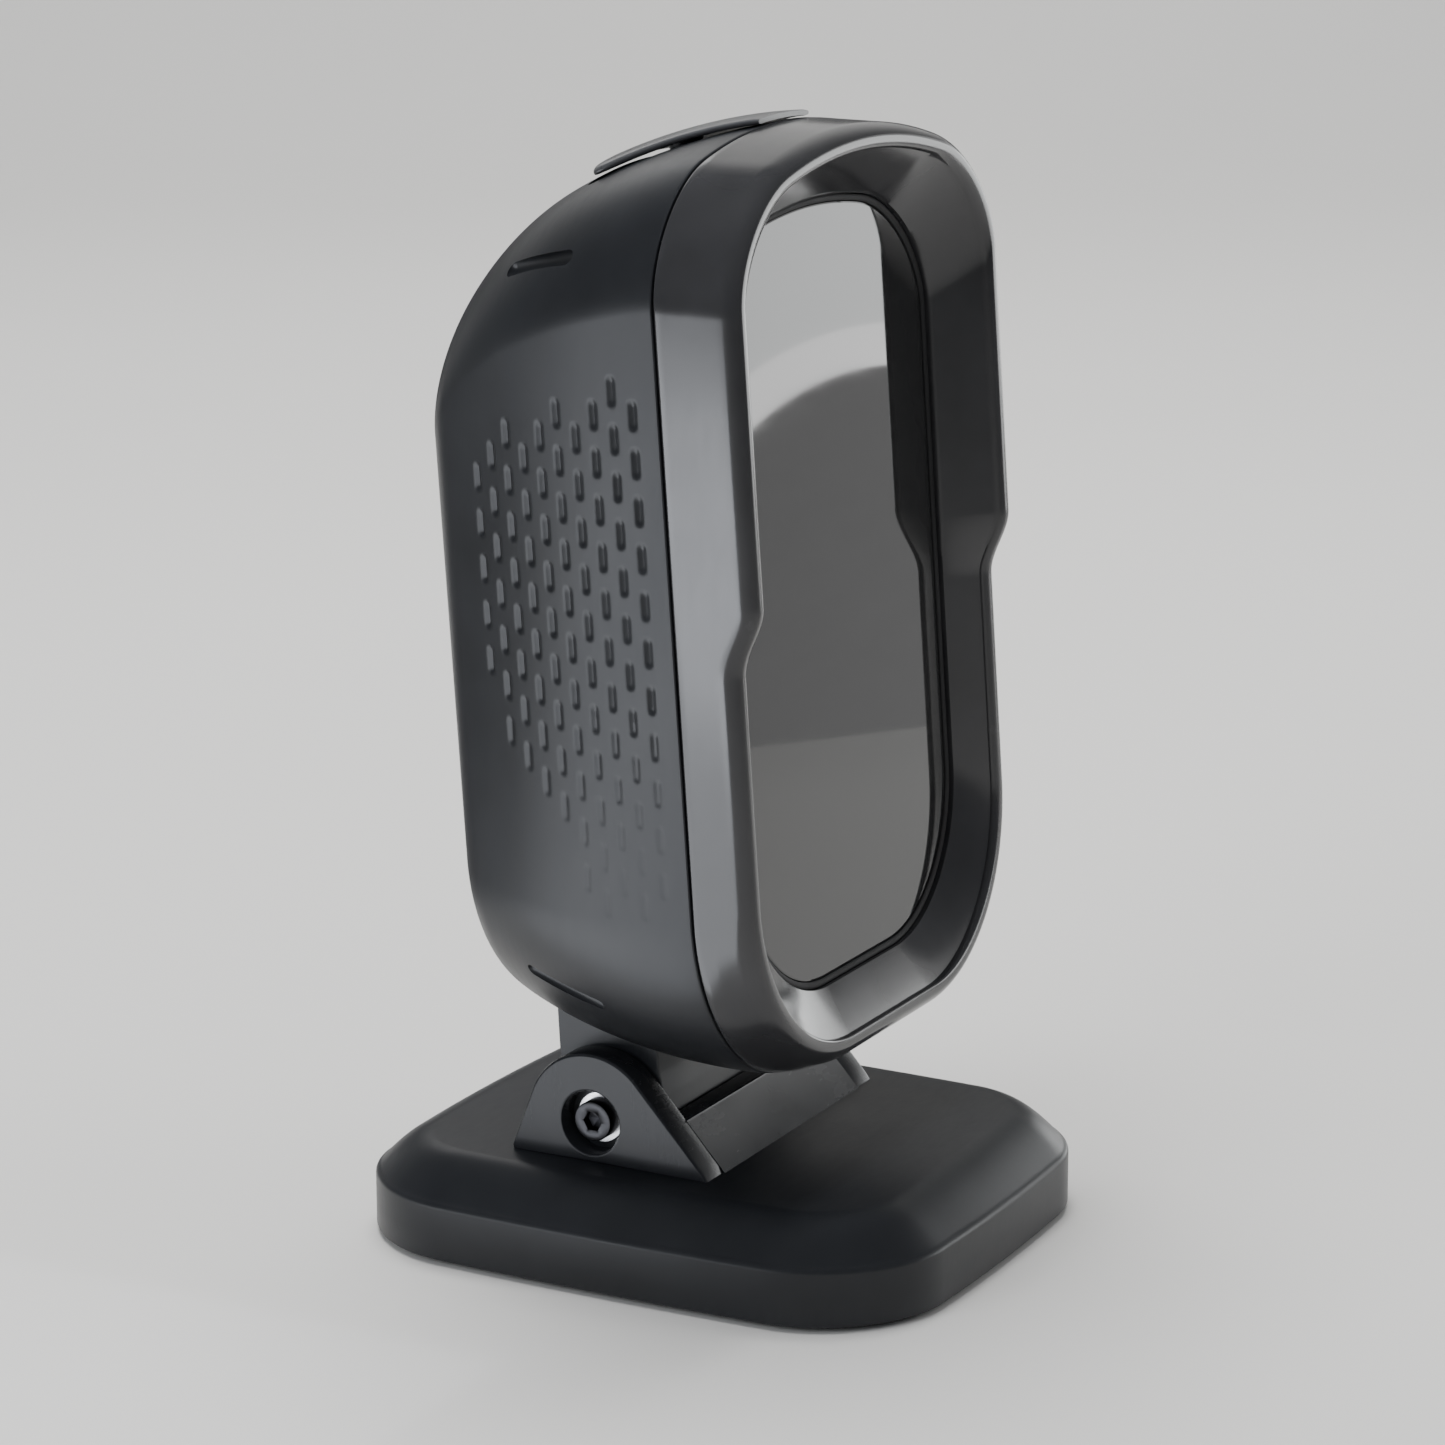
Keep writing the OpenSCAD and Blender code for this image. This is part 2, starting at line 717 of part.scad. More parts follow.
// Cross-section of the bar at depth v, following the crowned top
function bar_ring(v) =
    let (
        n = 14,
        xs = [for (i = [0 : n]) bar_half(v) * (2 * i / n - 1)],
        low = [for (x = xs) [x, crown_height(x, v) + bar_lift(v)]],
        high = [for (i = [n : -1 : 0]) low[i] + [0, bar_t]]
    )
    at_v(concat(low, high), v);

// Thin curved lever, hinged at its front edge, with a plunger that reaches down to the switch
module press_bar() {
    steps = 10;
    front = part_v + 0.1;
    run = bar_l - 0.1;
    plunger_top = crown_height(0, switch_v) + bar_lift(switch_v) + bar_t / 2;
    plunger_low = switch_top + 0.9;
    color([0.1, 0.1, 0.11]) in_head() {
        loft([for (i = [steps : -1 : 0]) bar_ring(front + run * sin(90 * i / steps))]);
        translate([0, switch_v, plunger_low]) cylinder(r = 2, h = plunger_top - plunger_low, $fn = 32);
    }
}

module switch_board() {
    color([0.05, 0.3, 0.16]) in_head() span([-10, -15.5, switch_w], [10, -5.5, switch_w + board_t]);
}

module tact_switch() {
    body_low = switch_w + board_t + 0.02;
    color([0.75, 0.75, 0.77]) in_head() translate([0, switch_v, 0]) {
        span([-3, -3, body_low], [3, 3, body_low + 3.5]);
        translate([0, 0, body_low + 3.4]) cylinder(r = 1.7, h = switch_top - body_low - 3.4, $fn = 32);
    }
}

foot_pad();
base_plate();
ballast_plate();
base_cover();
hinge_bracket();
bracket_screws();
pivot_bushes();
hinge_screw_left();
hinge_screw_right();
hinge_washers();
friction_washers();
neck();
neck_inserts();
neck_screws();
rear_housing();
housing_screws();
front_bezel();
scan_window();
window_gasket();
light_baffle();
chassis();
led_board();
led_emitters();
led_diffusers();
imager_board();
image_sensor();
lens_barrel();
lens_glass();
aimer_module();
main_board();
decoder_chip();
board_screws();
buzzer();
ribbon_cable();
interface_jack();
jack_contacts();
press_bar();
switch_board();
tact_switch();
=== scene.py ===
import json
import math
import bpy
import numpy as np
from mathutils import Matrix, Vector


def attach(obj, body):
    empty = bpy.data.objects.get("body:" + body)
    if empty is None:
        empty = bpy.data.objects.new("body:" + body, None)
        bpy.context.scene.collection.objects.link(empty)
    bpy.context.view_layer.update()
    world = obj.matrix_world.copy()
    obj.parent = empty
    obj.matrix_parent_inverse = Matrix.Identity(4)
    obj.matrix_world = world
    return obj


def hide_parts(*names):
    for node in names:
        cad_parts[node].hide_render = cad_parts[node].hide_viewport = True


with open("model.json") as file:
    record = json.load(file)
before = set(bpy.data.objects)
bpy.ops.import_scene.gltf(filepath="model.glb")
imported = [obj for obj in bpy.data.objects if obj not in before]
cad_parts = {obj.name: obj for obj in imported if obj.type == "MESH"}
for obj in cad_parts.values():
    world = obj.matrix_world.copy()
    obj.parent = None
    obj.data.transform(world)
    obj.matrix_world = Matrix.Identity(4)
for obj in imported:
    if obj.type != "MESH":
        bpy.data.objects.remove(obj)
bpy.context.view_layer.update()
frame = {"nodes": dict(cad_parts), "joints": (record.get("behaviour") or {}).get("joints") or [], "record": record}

# Shapes are worked out in millimetres. The head's own frame is (x, v, w): v runs back from the tilt
# axis and w runs up along the head, which leans back by HEAD_LEAN at rest.
MM = 0.001
HEAD_LEAN = math.radians(4)
HINGE = [c / MM for c in next(j for j in frame["joints"] if j["name"] == "head_tilt")["pos_m"]]

# Scan head, along v: the parting line, the back, and the upper and lower parts of the front rim
PART_V = -25.5
BACK_V = 17.1
FRONT_UPPER_V = -37.4
FRONT_LOWER_V = -34.3

# Middle and height of the step between the rim's two parts
STEP_W = 69.0
STEP_H = 9.0

# The head's half width at the parting line, the sides' radius in plan and the rounding of the back edge
HEAD_X = 38.8
SIDE_R = 76.0
BACK_ROUND = 6.0

# The crown and the underside: height at the parting line, then how far, over what depth and how
# squarely they fall towards the back, and how far they fall towards the front rim
TOP_W = 131.0
TOP_FALL = 26.6
TOP_RUN = 43
TOP_POWER = 1.74
TOP_FRONT_FALL = 1.1
UNDER_W = 6.7
UNDER_RISE = 10.0
UNDER_RUN = 42
UNDER_POWER = 1.44
UNDER_FRONT_RISE = 2.3

# Corners of the front view: the lower radius, and the width and height of the shoulders
LOWER_CORNER = 26
SHOULDER_X = 16
SHOULDER_W = 12
CROWN_R = 90.0

# The window's face, and how far in from the head's outline its opening is
WINDOW_V = -28.8
SIDE_INSET = 7.5
END_INSET = 9.5

# Rear housing: wall, screw wells at (x, w), the left side's slots as (start, end, radius), cable socket
SHELL_WALL = 2.0
SCREW_WELLS = [(x, w) for x in (-16, 16) for w in (40, 92)]
SIDE_SLOTS = (
    ((29.4, -0.2, 115.2), (33.7, -11.0, 117.0), 1.15),
    ((30.5, 3.8, 22.3), (32.9, -7.4, 19.1), 0.95),
)
JACK_W = 36.8

# Side grille: first column and row, and the size of a dimple
GRILLE_V = -21.8
GRILLE_W = 97.8
GRILLE_COLUMNS = 10
COLUMN_PITCH = 3.0
ROW_PITCH = 6.03
DIMPLE_STRAIGHT = 2.5
DIMPLE_R = 0.75
DIMPLE_DEPTH = 0.36

# Base: outline, rim, deck and the hole in the deck that the bracket stands in
BASE_HALF = (73.8 / 2, 85.8 / 2)
BASE_CORNER = 16.5
BULGE = 0.04
RIM_H = 8.8
DECK_Z = 13.9
DECK_INSET = 8.0
HOLE_HALF = (22.4, 10.7)
HOLE_Y = 6.95

# Hinge: ears of the bracket, its two feet, the neck's barrel, washers and screws
EAR_R = 9.6
EAR_X = 49.3 / 2
EAR_IN_X = EAR_X - 4.8
EAR_WEB = 1.4
EAR_RECESS_R = 4.4
BRACKET_FRONT_Y = -10.7
BRACKET_BACK_Y = 19.7
BARREL_R = 9.0
NECK_X = EAR_IN_X - 0.5
WASHER_T = 0.5
SCREW_R = 1.5
SCREW_HEAD_R = 2.75
SCREW_HEAD_H = 2.3

# Press bar
BAR_L = 19.0
BAR_FRONT_W = 14.0
BAR_REAR_W = 42.0
BAR_T = 0.8
BAR_CORNER = 4.0
SWITCH_V = -10.5

# Camera, in metres
CAMERA_AZIMUTH = math.radians(-62.12)
CAMERA_ELEVATION = math.radians(12.93)
CAMERA_DISTANCE = 0.58
CAMERA_TARGET = Vector((0, -0.00124, 0.078))


# ---- mesh tools --------------------------------------------------------

def head_to_row(points):
    """Millimetre points (x, v, w) of the head's frame in the row frame, still in millimetres."""
    p = np.asarray(points, float)
    c, s = math.cos(HEAD_LEAN), math.sin(HEAD_LEAN)
    return np.stack([
        p[..., 0],
        HINGE[1] + p[..., 1] * c + p[..., 2] * s,
        HINGE[2] - p[..., 1] * s + p[..., 2] * c,
    ], -1)


def add_object(name, data):
    obj = bpy.data.objects.new(name, data)
    bpy.context.scene.collection.objects.link(obj)
    return obj


def shade(mesh, sharp):
    """Smooth shading, except where two faces meet at more than this many degrees."""
    mesh.polygons.foreach_set("use_smooth", np.ones(len(mesh.polygons), bool))
    mesh.set_sharp_from_angle(angle=math.radians(sharp))


def ring_faces(rings, n, wrap):
    """Quads between rings of n points. wrap joins the last ring to the first, or else caps close the ends."""
    i = np.arange(n)
    k = (i + 1) % n
    quads = []
    for j in range(rings if wrap else rings - 1):
        a, b = j * n, ((j + 1) % rings) * n
        quads.append(np.stack([a + i, b + i, b + k, a + k], 1))
    faces = np.concatenate(quads).tolist()
    if not wrap:
        faces.append(list(range(n)))
        faces.append(list(range(rings * n - 1, (rings - 1) * n - 1, -1)))
    return faces


def skin(name, rings, wrap=False, sharp=35):
    """A closed solid through rings of millimetre points in the row frame, with its faces turned outwards."""
    rings = np.asarray(rings, float)
    mesh = bpy.data.meshes.new(name)
    mesh.from_pydata((rings.reshape(-1, 3) * MM).tolist(), [], ring_faces(*rings.shape[:2], wrap))
    mesh.validate()
    shade(mesh, sharp)
    if signed_volume(mesh) < 0:
        mesh.flip_normals()
    return add_object(name, mesh)


def signed_volume(mesh):
    """Six times the volume inside a closed mesh, below zero when its faces look inwards."""
    mesh.calc_loop_triangles()
    co = np.zeros(len(mesh.vertices) * 3)
    mesh.vertices.foreach_get("co", co)
    tri = np.zeros(len(mesh.loop_triangles) * 3, np.int32)
    mesh.loop_triangles.foreach_get("vertices", tri)
    t = co.reshape(-1, 3)[tri].reshape(-1, 3, 3)
    return float(np.einsum("ij,ij->i", t[:, 0], np.cross(t[:, 1], t[:, 2])).sum())


def combine(obj, tools, operation, sharp=35):
    """Cuts the tools from obj or joins them to it, and removes the tools."""
    for tool in tools:
        step = obj.modifiers.new("cut", "BOOLEAN")
        step.operation = operation
        step.solver = "MANIFOLD"
        step.object = tool
    graph = bpy.context.evaluated_depsgraph_get()
    mesh = bpy.data.meshes.new_from_object(obj.evaluated_get(graph))
    obj.modifiers.clear()
    obj.data = mesh
    for tool in tools:
        bpy.data.objects.remove(tool)
    shade(mesh, sharp)


def even_angles(count):
    return np.linspace(0, 2 * math.pi, count, endpoint=False)


def hinge_rings(sections, side=1, count=144):
    """Rings round the tilt axis. A section is (x, radius), with one radius or one for each angle."""
    across, up = np.cos(even_angles(count)), np.sin(even_angles(count))
    return [
        np.stack([np.full(count, side * x), HINGE[1] + radius * across, HINGE[2] + radius * up], -1)
        for x, radius in sections
    ]


def rod(name, v0, v1, radius, centre, chamfer=0.0, count=64):
    """A tool along the head's depth at centre (x, w), flared by chamfer at its back end."""
    turn = even_angles(count)
    sections = [(v0, radius), (v1 - chamfer, radius), (v1, radius + chamfer), (v1 + 1, radius + chamfer)]
    rings = [
        np.stack([centre[0] + r * np.cos(turn), np.full(count, v), centre[1] + r * np.sin(turn)], -1)
        for v, r in sections
    ]
    return skin(name, head_to_row(rings))


def smoothstep(t):
    """An S curve from 0 to 1."""
    t = np.clip(t, 0, 1)
    return t * t * (3 - 2 * t)


def place(obj, body, nodes, material):
    """Gives a finished piece its body and its material, and hides the CAD nodes it stands for."""
    obj.data.materials.clear()
    obj.data.materials.append(material)
    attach(obj, body)
    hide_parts(*nodes)


# ---- head outlines -----------------------------------------------------

def fall(e, power):
    """Goes from 0 to 1 along a superellipse, ever more steeply."""
    return 1 - (1 - np.clip(e, 0, 1) ** power) ** (1 / power)


def depth_fraction(v):
    """0 at the parting line and 1 at the back."""
    return min(max((v - PART_V) / (BACK_V - PART_V), 0), 1)


def front_fraction(v):
    """0 at the parting line and 1 at the front rim."""
    return max((PART_V - v) / (PART_V - FRONT_UPPER_V), 0)


def half_width(v):
    into_back = max(v - BACK_V + BACK_ROUND, 0)
    rounding = BACK_ROUND - math.sqrt(max(BACK_ROUND ** 2 - into_back ** 2, 0))
    return HEAD_X - max(v - PART_V, 0) ** 2 / (2 * SIDE_R) - rounding


def top_height(v):
    towards_back = fall((v - BACK_V + TOP_RUN) / TOP_RUN, TOP_POWER)
    return TOP_W - TOP_FRONT_FALL * front_fraction(v) - TOP_FALL * towards_back


def under_height(v):
    towards_back = fall((v - BACK_V + UNDER_RUN) / UNDER_RUN, UNDER_POWER)
    return UNDER_W + UNDER_FRONT_RISE * front_fraction(v) + UNDER_RISE * towards_back


def corners(v):
    """The lower corner's radius and the shoulder's width and height at a depth."""
    s, a = depth_fraction(v), half_width(v)
    return min(LOWER_CORNER - 5.6 * s, a), min(SHOULDER_X + 8 * s, a), SHOULDER_W + 1.3 * s


def crown_drop(x, a, rx, rw):
    """How far the crown is below its middle at x, for a half width a and a shoulder of rx by rw."""
    e = np.clip((np.abs(x) - (a - rx)) / rx, 0, 1)
    return x ** 2 / (2 * CROWN_R) + rw * (1 - np.sqrt(1 - e * e))


def crown_height(x, v):
    _, rx, rw = corners(v)
    return top_height(v) - crown_drop(x, half_width(v), rx, rw)


def outline(a, low, top, rb, rx, rw, detail=1.0):
    """Front-view ring (x, w): underside, right corner, right side, crowned top, and the left the same way."""
    n_under, n_corner, n_side, n_arch = (round(n * detail) for n in (14, 110, 250, 180))
    side_top = top - crown_drop(np.array(a), a, rx, rw)
    t = np.linspace(0, math.pi / 2, n_corner, endpoint=False)
    side = np.linspace(low + rb, side_top, n_side, endpoint=False)
    flat = np.linspace(0, a - rb, n_under, endpoint=False)
    right = np.concatenate([
        np.stack([flat, np.full(n_under, low)], 1),
        np.stack([a - rb + rb * np.sin(t), low + rb - rb * np.cos(t)], 1),
        np.stack([np.full(n_side, a), side], 1),
    ])
    x = a * np.cos(np.linspace(0, math.pi, n_arch))
    arch = np.stack([x, top - crown_drop(x, a, rx, rw)], 1)
    left = right[:0:-1] * [-1, 1]
    return np.concatenate([right, arch, left])


def head_outline(v, inset, detail=1.0):
    """Ring of the head's skin at a depth, moved inwards by inset."""
    rb, rx, rw = (max(size - inset, 4) for size in corners(v))
    return outline(half_width(v) - inset, under_height(v) + inset, top_height(v) - inset, rb, rx, rw, detail)


def bezel_outline(side, end, soften=1.0, detail=1.0):
    """Ring near the window. soften goes from 0, the rim's own corners, to 1, the window's rounder ones."""
    v = PART_V + (FRONT_UPPER_V - PART_V) * (1 - 0.5 * soften)
    return outline(
        HEAD_X - side, under_height(v) + end, top_height(v) - end,
        LOWER_CORNER - side * (1 - 0.35 * soften), SHOULDER_X + side * (1.13 * soften - 1),
        SHOULDER_W + side * (soften - 1), detail,
    )


def at_v(ring, v):
    """A ring (x, w) as points (x, v, w)."""
    return np.stack([ring[:, 0], np.broadcast_to(v, (len(ring),)), ring[:, 1]], 1)


def rim_v(w):
    """Depth of the front rim: the lower part steps back on an S curve."""
    return FRONT_UPPER_V + (FRONT_LOWER_V - FRONT_UPPER_V) * smoothstep((STEP_W + STEP_H / 2 - w) / STEP_H)


# ---- rear housing ------------------------------------------------------

def grille_depth(x, v, w):
    """How deep the staggered upright dimples of the side grille are at points of the skin."""
    column = np.clip(np.round((v - GRILLE_V) / COLUMN_PITCH), 0, GRILLE_COLUMNS - 1)
    column_v = GRILLE_V + COLUMN_PITCH * column
    start_w = np.where(column % 2 == 0, GRILLE_W, GRILLE_W + ROW_PITCH / 2)
    row_w = start_w - ROW_PITCH * np.round((start_w - w) / ROW_PITCH)
    upper_edge = 101.5 - 0.36 * (column_v + 18.8)
    lower_edge = 34 + 1.45 * np.maximum(column_v + 12, 0)
    on_side = np.abs(x) > 20
    past_straight = np.maximum(np.abs(w - row_w) - DIMPLE_STRAIGHT / 2, 0)
    outside = np.hypot(v - column_v, past_straight) - DIMPLE_R
    lower_rows_fade = 0.2 + 0.8 * smoothstep((w - 38) / 30)
    depth = DIMPLE_DEPTH * lower_rows_fade * smoothstep((0.05 - outside) / 0.8)
    return np.where((row_w < upper_edge) & (row_w > lower_edge) & on_side, depth, 0)


def side_slot(side, start, end, radius):
    """A round-ended tool between two points (x, v, w) of the left side, or mirrored on the right."""
    a, b = (np.array([-side * p[0], p[1], p[2]]) for p in (start, end))
    axis = (b - a) / np.linalg.norm(b - a)
    across = np.cross(axis, (0, 0, 1))
    across /= np.linalg.norm(across)
    third = np.cross(axis, across)
    turn = even_angles(40)[:, None]
    circle = across * np.cos(turn) + third * np.sin(turn)
    rings = []
    near_pole = math.pi / 2 * 0.97
    for t in np.linspace(-near_pole, near_pole, 24):
        centre = (a if t < 0 else b) + axis * radius * math.sin(t)
        rings.append(centre + circle * radius * math.cos(t))
    return skin("slot_way", head_to_row(np.array(rings)))


def surface_normals(grid):
    """Outward unit normals of a grid of rings."""
    across = np.roll(grid, -1, 1) - np.roll(grid, 1, 1)
    along = np.gradient(grid, axis=0)
    normal = np.cross(along, across)
    normal /= np.linalg.norm(normal, axis=-1, keepdims=True) + 1e-12
    middle_of_head = np.array([0, -4.0, 68.0])
    return normal * np.sign((normal * (grid - middle_of_head)).sum(-1, keepdims=True))


def housing_stations():
    """Depths of the skin's rings, close together where the dimples are and in the rounded back edge."""
    front = PART_V + np.array([0, 0.06, 0.2, 0.4, 0.8, 1.3])
    grille_start, grille_end = -23.8, 7
    middle = np.arange(grille_start, grille_end + 0.01, 0.25)
    bend = grille_end + (BACK_V - grille_end) * np.sin(np.linspace(0, math.pi / 2, 34))[1:]
    return np.concatenate([front, middle, bend])


def rear_housing(material):
    """The textured shell: dimpled skin, inner wall, screw wells, side slots and its openings."""
    edge = 0.3
    outer = []
    for v in housing_stations():
        into_edge = max(1 - (v - PART_V) / edge, 0)
        outer.append(at_v(head_outline(v, edge * (1 - math.sqrt(1 - into_edge ** 2))), v))
    outer = np.array(outer)
    outer = outer - surface_normals(outer) * grille_depth(*np.moveaxis(outer, -1, 0))[..., None]
    depth = BACK_V - PART_V
    inner = [
        at_v(head_outline(PART_V + depth * s, SHELL_WALL), PART_V + (depth - SHELL_WALL) * s)
        for s in np.sin(np.linspace(0, math.pi / 2, 14))
    ]
    shell = skin("rear_shell", head_to_row(np.concatenate([outer[::-1], inner])))
    combine(shell, [rod("boss", 8, BACK_V - 1, 4.2, at) for at in SCREW_WELLS], "UNION")
    cuts = [rod("well", 10, BACK_V - 0.02, 3.1, at, 0.35) for at in SCREW_WELLS]
    cuts += [rod("screw_way", 5, 12, 1.55, at, count=32) for at in SCREW_WELLS]
    cuts += [jack_opening(), neck_slot(), bar_well(), plunger_hole()]
    cuts += [side_slot(side, *slot) for side in (-1, 1) for slot in SIDE_SLOTS]
    combine(shell, cuts, "DIFFERENCE", 30)
    place(shell, "head", ["rear_housing"], material)


def rounded_box_rings(half, radius, levels, centre):
    """Rings of a rounded rectangle at (offset, level) pairs, as (first, second, level) coordinates."""
    rings = []
    for grow, level in levels:
        ring = round_rect(half[0] + grow, half[1] + grow, radius + grow, 8, 2)
        rings.append(np.stack([ring[:, 0] + centre[0], ring[:, 1] + centre[1], np.full(len(ring), level)], 1))
    return np.array(rings)


def jack_opening():
    levels = [(0.2, BACK_V - 6), (0.2, BACK_V - 0.4), (0.6, BACK_V - 0.02), (0.6, BACK_V + 1)]
    rings = rounded_box_rings((6.8, 5.8), 0.8, levels, (0, JACK_W))
    return skin("jack_way", head_to_row(rings[..., [0, 2, 1]]))


def neck_slot():
    rings = rounded_box_rings((NECK_X + 0.4, 7.9), 1.0, [(0, 0), (0, 22)], (0, -0.5))
    return skin("neck_way", head_to_row(rings))


def plunger_hole():
    rings = rounded_box_rings((3, 3), 2.98, [(0, 120), (0, 134)], (0, SWITCH_V))
    return skin("plunger_way", head_to_row(rings))


# ---- front bezel, window and seal --------------------------------------

def front_bezel(material):
    """The smooth ring round the window: its outline runs from the spigot over the rim and back inside."""
    detail = 0.8
    land = PART_V - 0.2
    spigot_out, spigot_in = 2.25, 3.85
    straight, rim_round, lip = 2.6, 3.0, 1.1
    rings = [at_v(head_outline(PART_V + 4, spigot_out, detail), PART_V + 3)]
    edge = ((0.45, 0), (0.2, 0.05), (0.06, 0.16), (0, 0.36), (0, 1.2), (0, straight))
    for inset, forward in ((spigot_out, 0), *edge):
        rings.append(at_v(head_outline(land - forward, inset, detail), land - forward))
    for t in np.linspace(0, 1, 6)[1:]:
        ring = head_outline(land - straight - 5.4 * t, 0, detail)
        rings.append(at_v(ring, (land - straight) * (1 - t) + (rim_v(ring[:, 1]) + rim_round) * t))
    for t in np.linspace(0, math.pi / 2, 12)[1:]:
        ring = head_outline(PART_V - 8 - 3.9 * math.sin(t), 1.7 * (1 - math.cos(t)), detail)
        rings.append(at_v(ring, rim_v(ring[:, 1]) + rim_round * (1 - math.sin(t))))
    for t in np.linspace(0, math.pi / 2, 8)[1:]:
        side = 2.1 + lip * math.sin(t)
        ring = bezel_outline(side, side + 0.5 * math.sin(t), math.sin(t) ** 2, detail)
        rings.append(at_v(ring, rim_v(ring[:, 1]) + lip * (1 - math.cos(t))))
    side_start, end_start, inner_v = 3.2, 3.7, WINDOW_V - 0.9
    for t in np.linspace(0, 1, 14)[1:]:
        side, end = side_start + (SIDE_INSET - side_start) * t, end_start + (END_INSET - end_start) * t
        ring = bezel_outline(side, end, 1, detail)
        start = rim_v(ring[:, 1]) + lip
        rings.append(at_v(ring, start + (inner_v - start) * (0.85 * t + 0.15 * t * t)))
    opening = bezel_outline(SIDE_INSET, END_INSET, 1, detail)
    rings += [at_v(opening, inner_v + 0.3), at_v(opening, land)]
    rings.append(at_v(head_outline(PART_V, spigot_in, detail), land))
    rings.append(at_v(head_outline(PART_V + 4, spigot_in, detail), PART_V + 3))
    bezel = skin("front_bezel_shell", head_to_row(rings), wrap=True, sharp=40)
    place(bezel, "head", ["front_bezel"], material)


def scan_window(material):
    """The pane, with a small chamfer; a low angle for sharp edges keeps its face truly flat."""
    rings = []
    for inset, depth in ((1.3, 0), (1.12, 0.05), (1, 0.25), (1, 1.5)):
        rings.append(at_v(bezel_outline(SIDE_INSET + inset, END_INSET + inset, 1, 0.5), WINDOW_V + depth))
    pane = skin("window_pane", head_to_row(rings), sharp=8)
    place(pane, "head", ["scan_window"], material)


def window_gasket(material):
    """The seal between the bezel's opening and the pane, with a rounded front edge."""
    inner, outer, back = 0.96, 0.1, PART_V - 0.3 - WINDOW_V
    profile = [(outer, -0.02), (outer, -0.2), (0.25, -0.32), (0.5, -0.36), (0.78, -0.28), (inner, -0.1)]
    profile += [(inner, 0.02), (inner, back), (outer, back)]
    rings = [at_v(bezel_outline(SIDE_INSET + i, END_INSET + i, 1, 0.6), WINDOW_V + d) for i, d in profile]
    seal = skin("window_seal", head_to_row(rings), wrap=True)
    place(seal, "head", ["window_gasket"], material)


# ---- press bar ---------------------------------------------------------

def bar_half(v):
    """Half of the bar's width: it widens towards the free end, which has round corners."""
    s = (v - PART_V) / BAR_L
    e = min(max((v - PART_V - BAR_L) / BAR_CORNER + 1, 0), 1)
    return (BAR_FRONT_W + (BAR_REAR_W - BAR_FRONT_W) * s) / 2 - BAR_CORNER * (1 - math.sqrt(1 - e * e))


def bar_lift(v):
    """The gap between the bar and the crown."""
    return 0.2 + 0.25 * (v - PART_V) / BAR_L


def bar_thickness(v):
    return BAR_T + 0.5 * (v - PART_V) / BAR_L


def bar_well():
    """A tool for the shallow well in the crown that the bar sinks into when it is pressed."""
    columns = 48
    rings = []
    for s in np.sin(np.linspace(0, math.pi / 2, 40)):
        v = PART_V + 0.4 + (BAR_L + 0.05) * s
        x = np.linspace(-1, 1, columns) * (bar_half(PART_V + BAR_L * s) + 0.8)
        crown = crown_height(x, v)
        floor = np.stack([x, np.full(columns, v), crown - 0.12 - 0.75 * s], 1)
        above = np.stack([x, np.full(columns, v), crown + 4], 1)
        rings.append(np.concatenate([floor, above[::-1]]))
    return skin("bar_way", head_to_row(rings))


def press_bar(material):
    """A thin lever over the crown, with round edges and its plunger below."""
    columns, front, edge = 56, 0.15, 0.4
    rings = []
    for s in np.sin(np.linspace(0, math.pi / 2, 40)):
        along = front + (BAR_L - front) * s
        v = PART_V + along
        half = bar_half(v)
        into_end = max((edge - along) / edge, (along - BAR_L + edge) / edge, 0)
        end_taper = math.sqrt(max(1 - into_end ** 2, 0.04))
        thick = bar_thickness(v)
        x = half * np.sin(np.linspace(-math.pi / 2, math.pi / 2, columns))
        side_taper = np.sqrt(np.maximum(1 - (np.abs(x) / half) ** 30, 0.0))
        swell = 0.5 * thick * end_taper * side_taper + 0.01
        middle = crown_height(x, v) + bar_lift(v) + thick / 2
        upper = np.stack([x, np.full(columns, v), middle + swell], 1)
        lower = np.stack([x, np.full(columns, v), middle - swell], 1)
        rings.append(np.concatenate([upper, lower[::-1]]))
    bar = skin("press_lever", head_to_row(rings), sharp=50)
    tip = 118.85
    top = float(crown_height(np.array(0.0), SWITCH_V)) + bar_lift(SWITCH_V) + BAR_T / 2
    levels = [(-0.3, tip), (0, tip + 0.3), (0, top - 2.2), (0.5, top)]
    plunger = skin("plunger", head_to_row(rounded_box_rings((2, 2), 1.98, levels, (0, SWITCH_V))))
    combine(bar, [plunger], "UNION", 50)
    place(bar, "press_bar", ["press_bar"], material)


# ---- base --------------------------------------------------------------

def round_rect(hx, hy, r, arc_steps, side_steps, bulge=0.0):
    """A rounded rectangle whose sides bulge by a share of its half size."""
    points = []
    centres = [(hx - r, hy - r), (r - hx, hy - r), (r - hx, r - hy), (hx - r, r - hy)]
    for q, (cx, cy) in enumerate(centres):
        a = math.radians(q * 90) + np.linspace(0, math.pi / 2, arc_steps + 1)
        arc = np.stack([cx + r * np.cos(a), cy + r * np.sin(a)], 1)
        far = np.array(centres[(q + 1) % 4]) + r * np.array([math.cos(a[-1]), math.sin(a[-1])])
        t = np.linspace(0, 1, side_steps + 2)[1:-1, None]
        points += [arc, arc[-1] * (1 - t) + far * t]
    p = np.concatenate(points)
    x = p[:, 0] * (1 + bulge * (1 - (p[:, 1] / hy) ** 2))
    y = p[:, 1] * (1 + bulge * (1 - (p[:, 0] / hx) ** 2))
    return np.stack([x, y], 1)


def base_ring(inset, z):
    """Ring of the base at height z, moved inwards by inset."""
    hx, hy = (h / (1 + BULGE) - inset for h in BASE_HALF)
    ring = round_rect(hx, hy, max(BASE_CORNER - inset, 3), 24, 20, BULGE)
    return np.stack([ring[:, 0], ring[:, 1], np.full(len(ring), z)], 1)


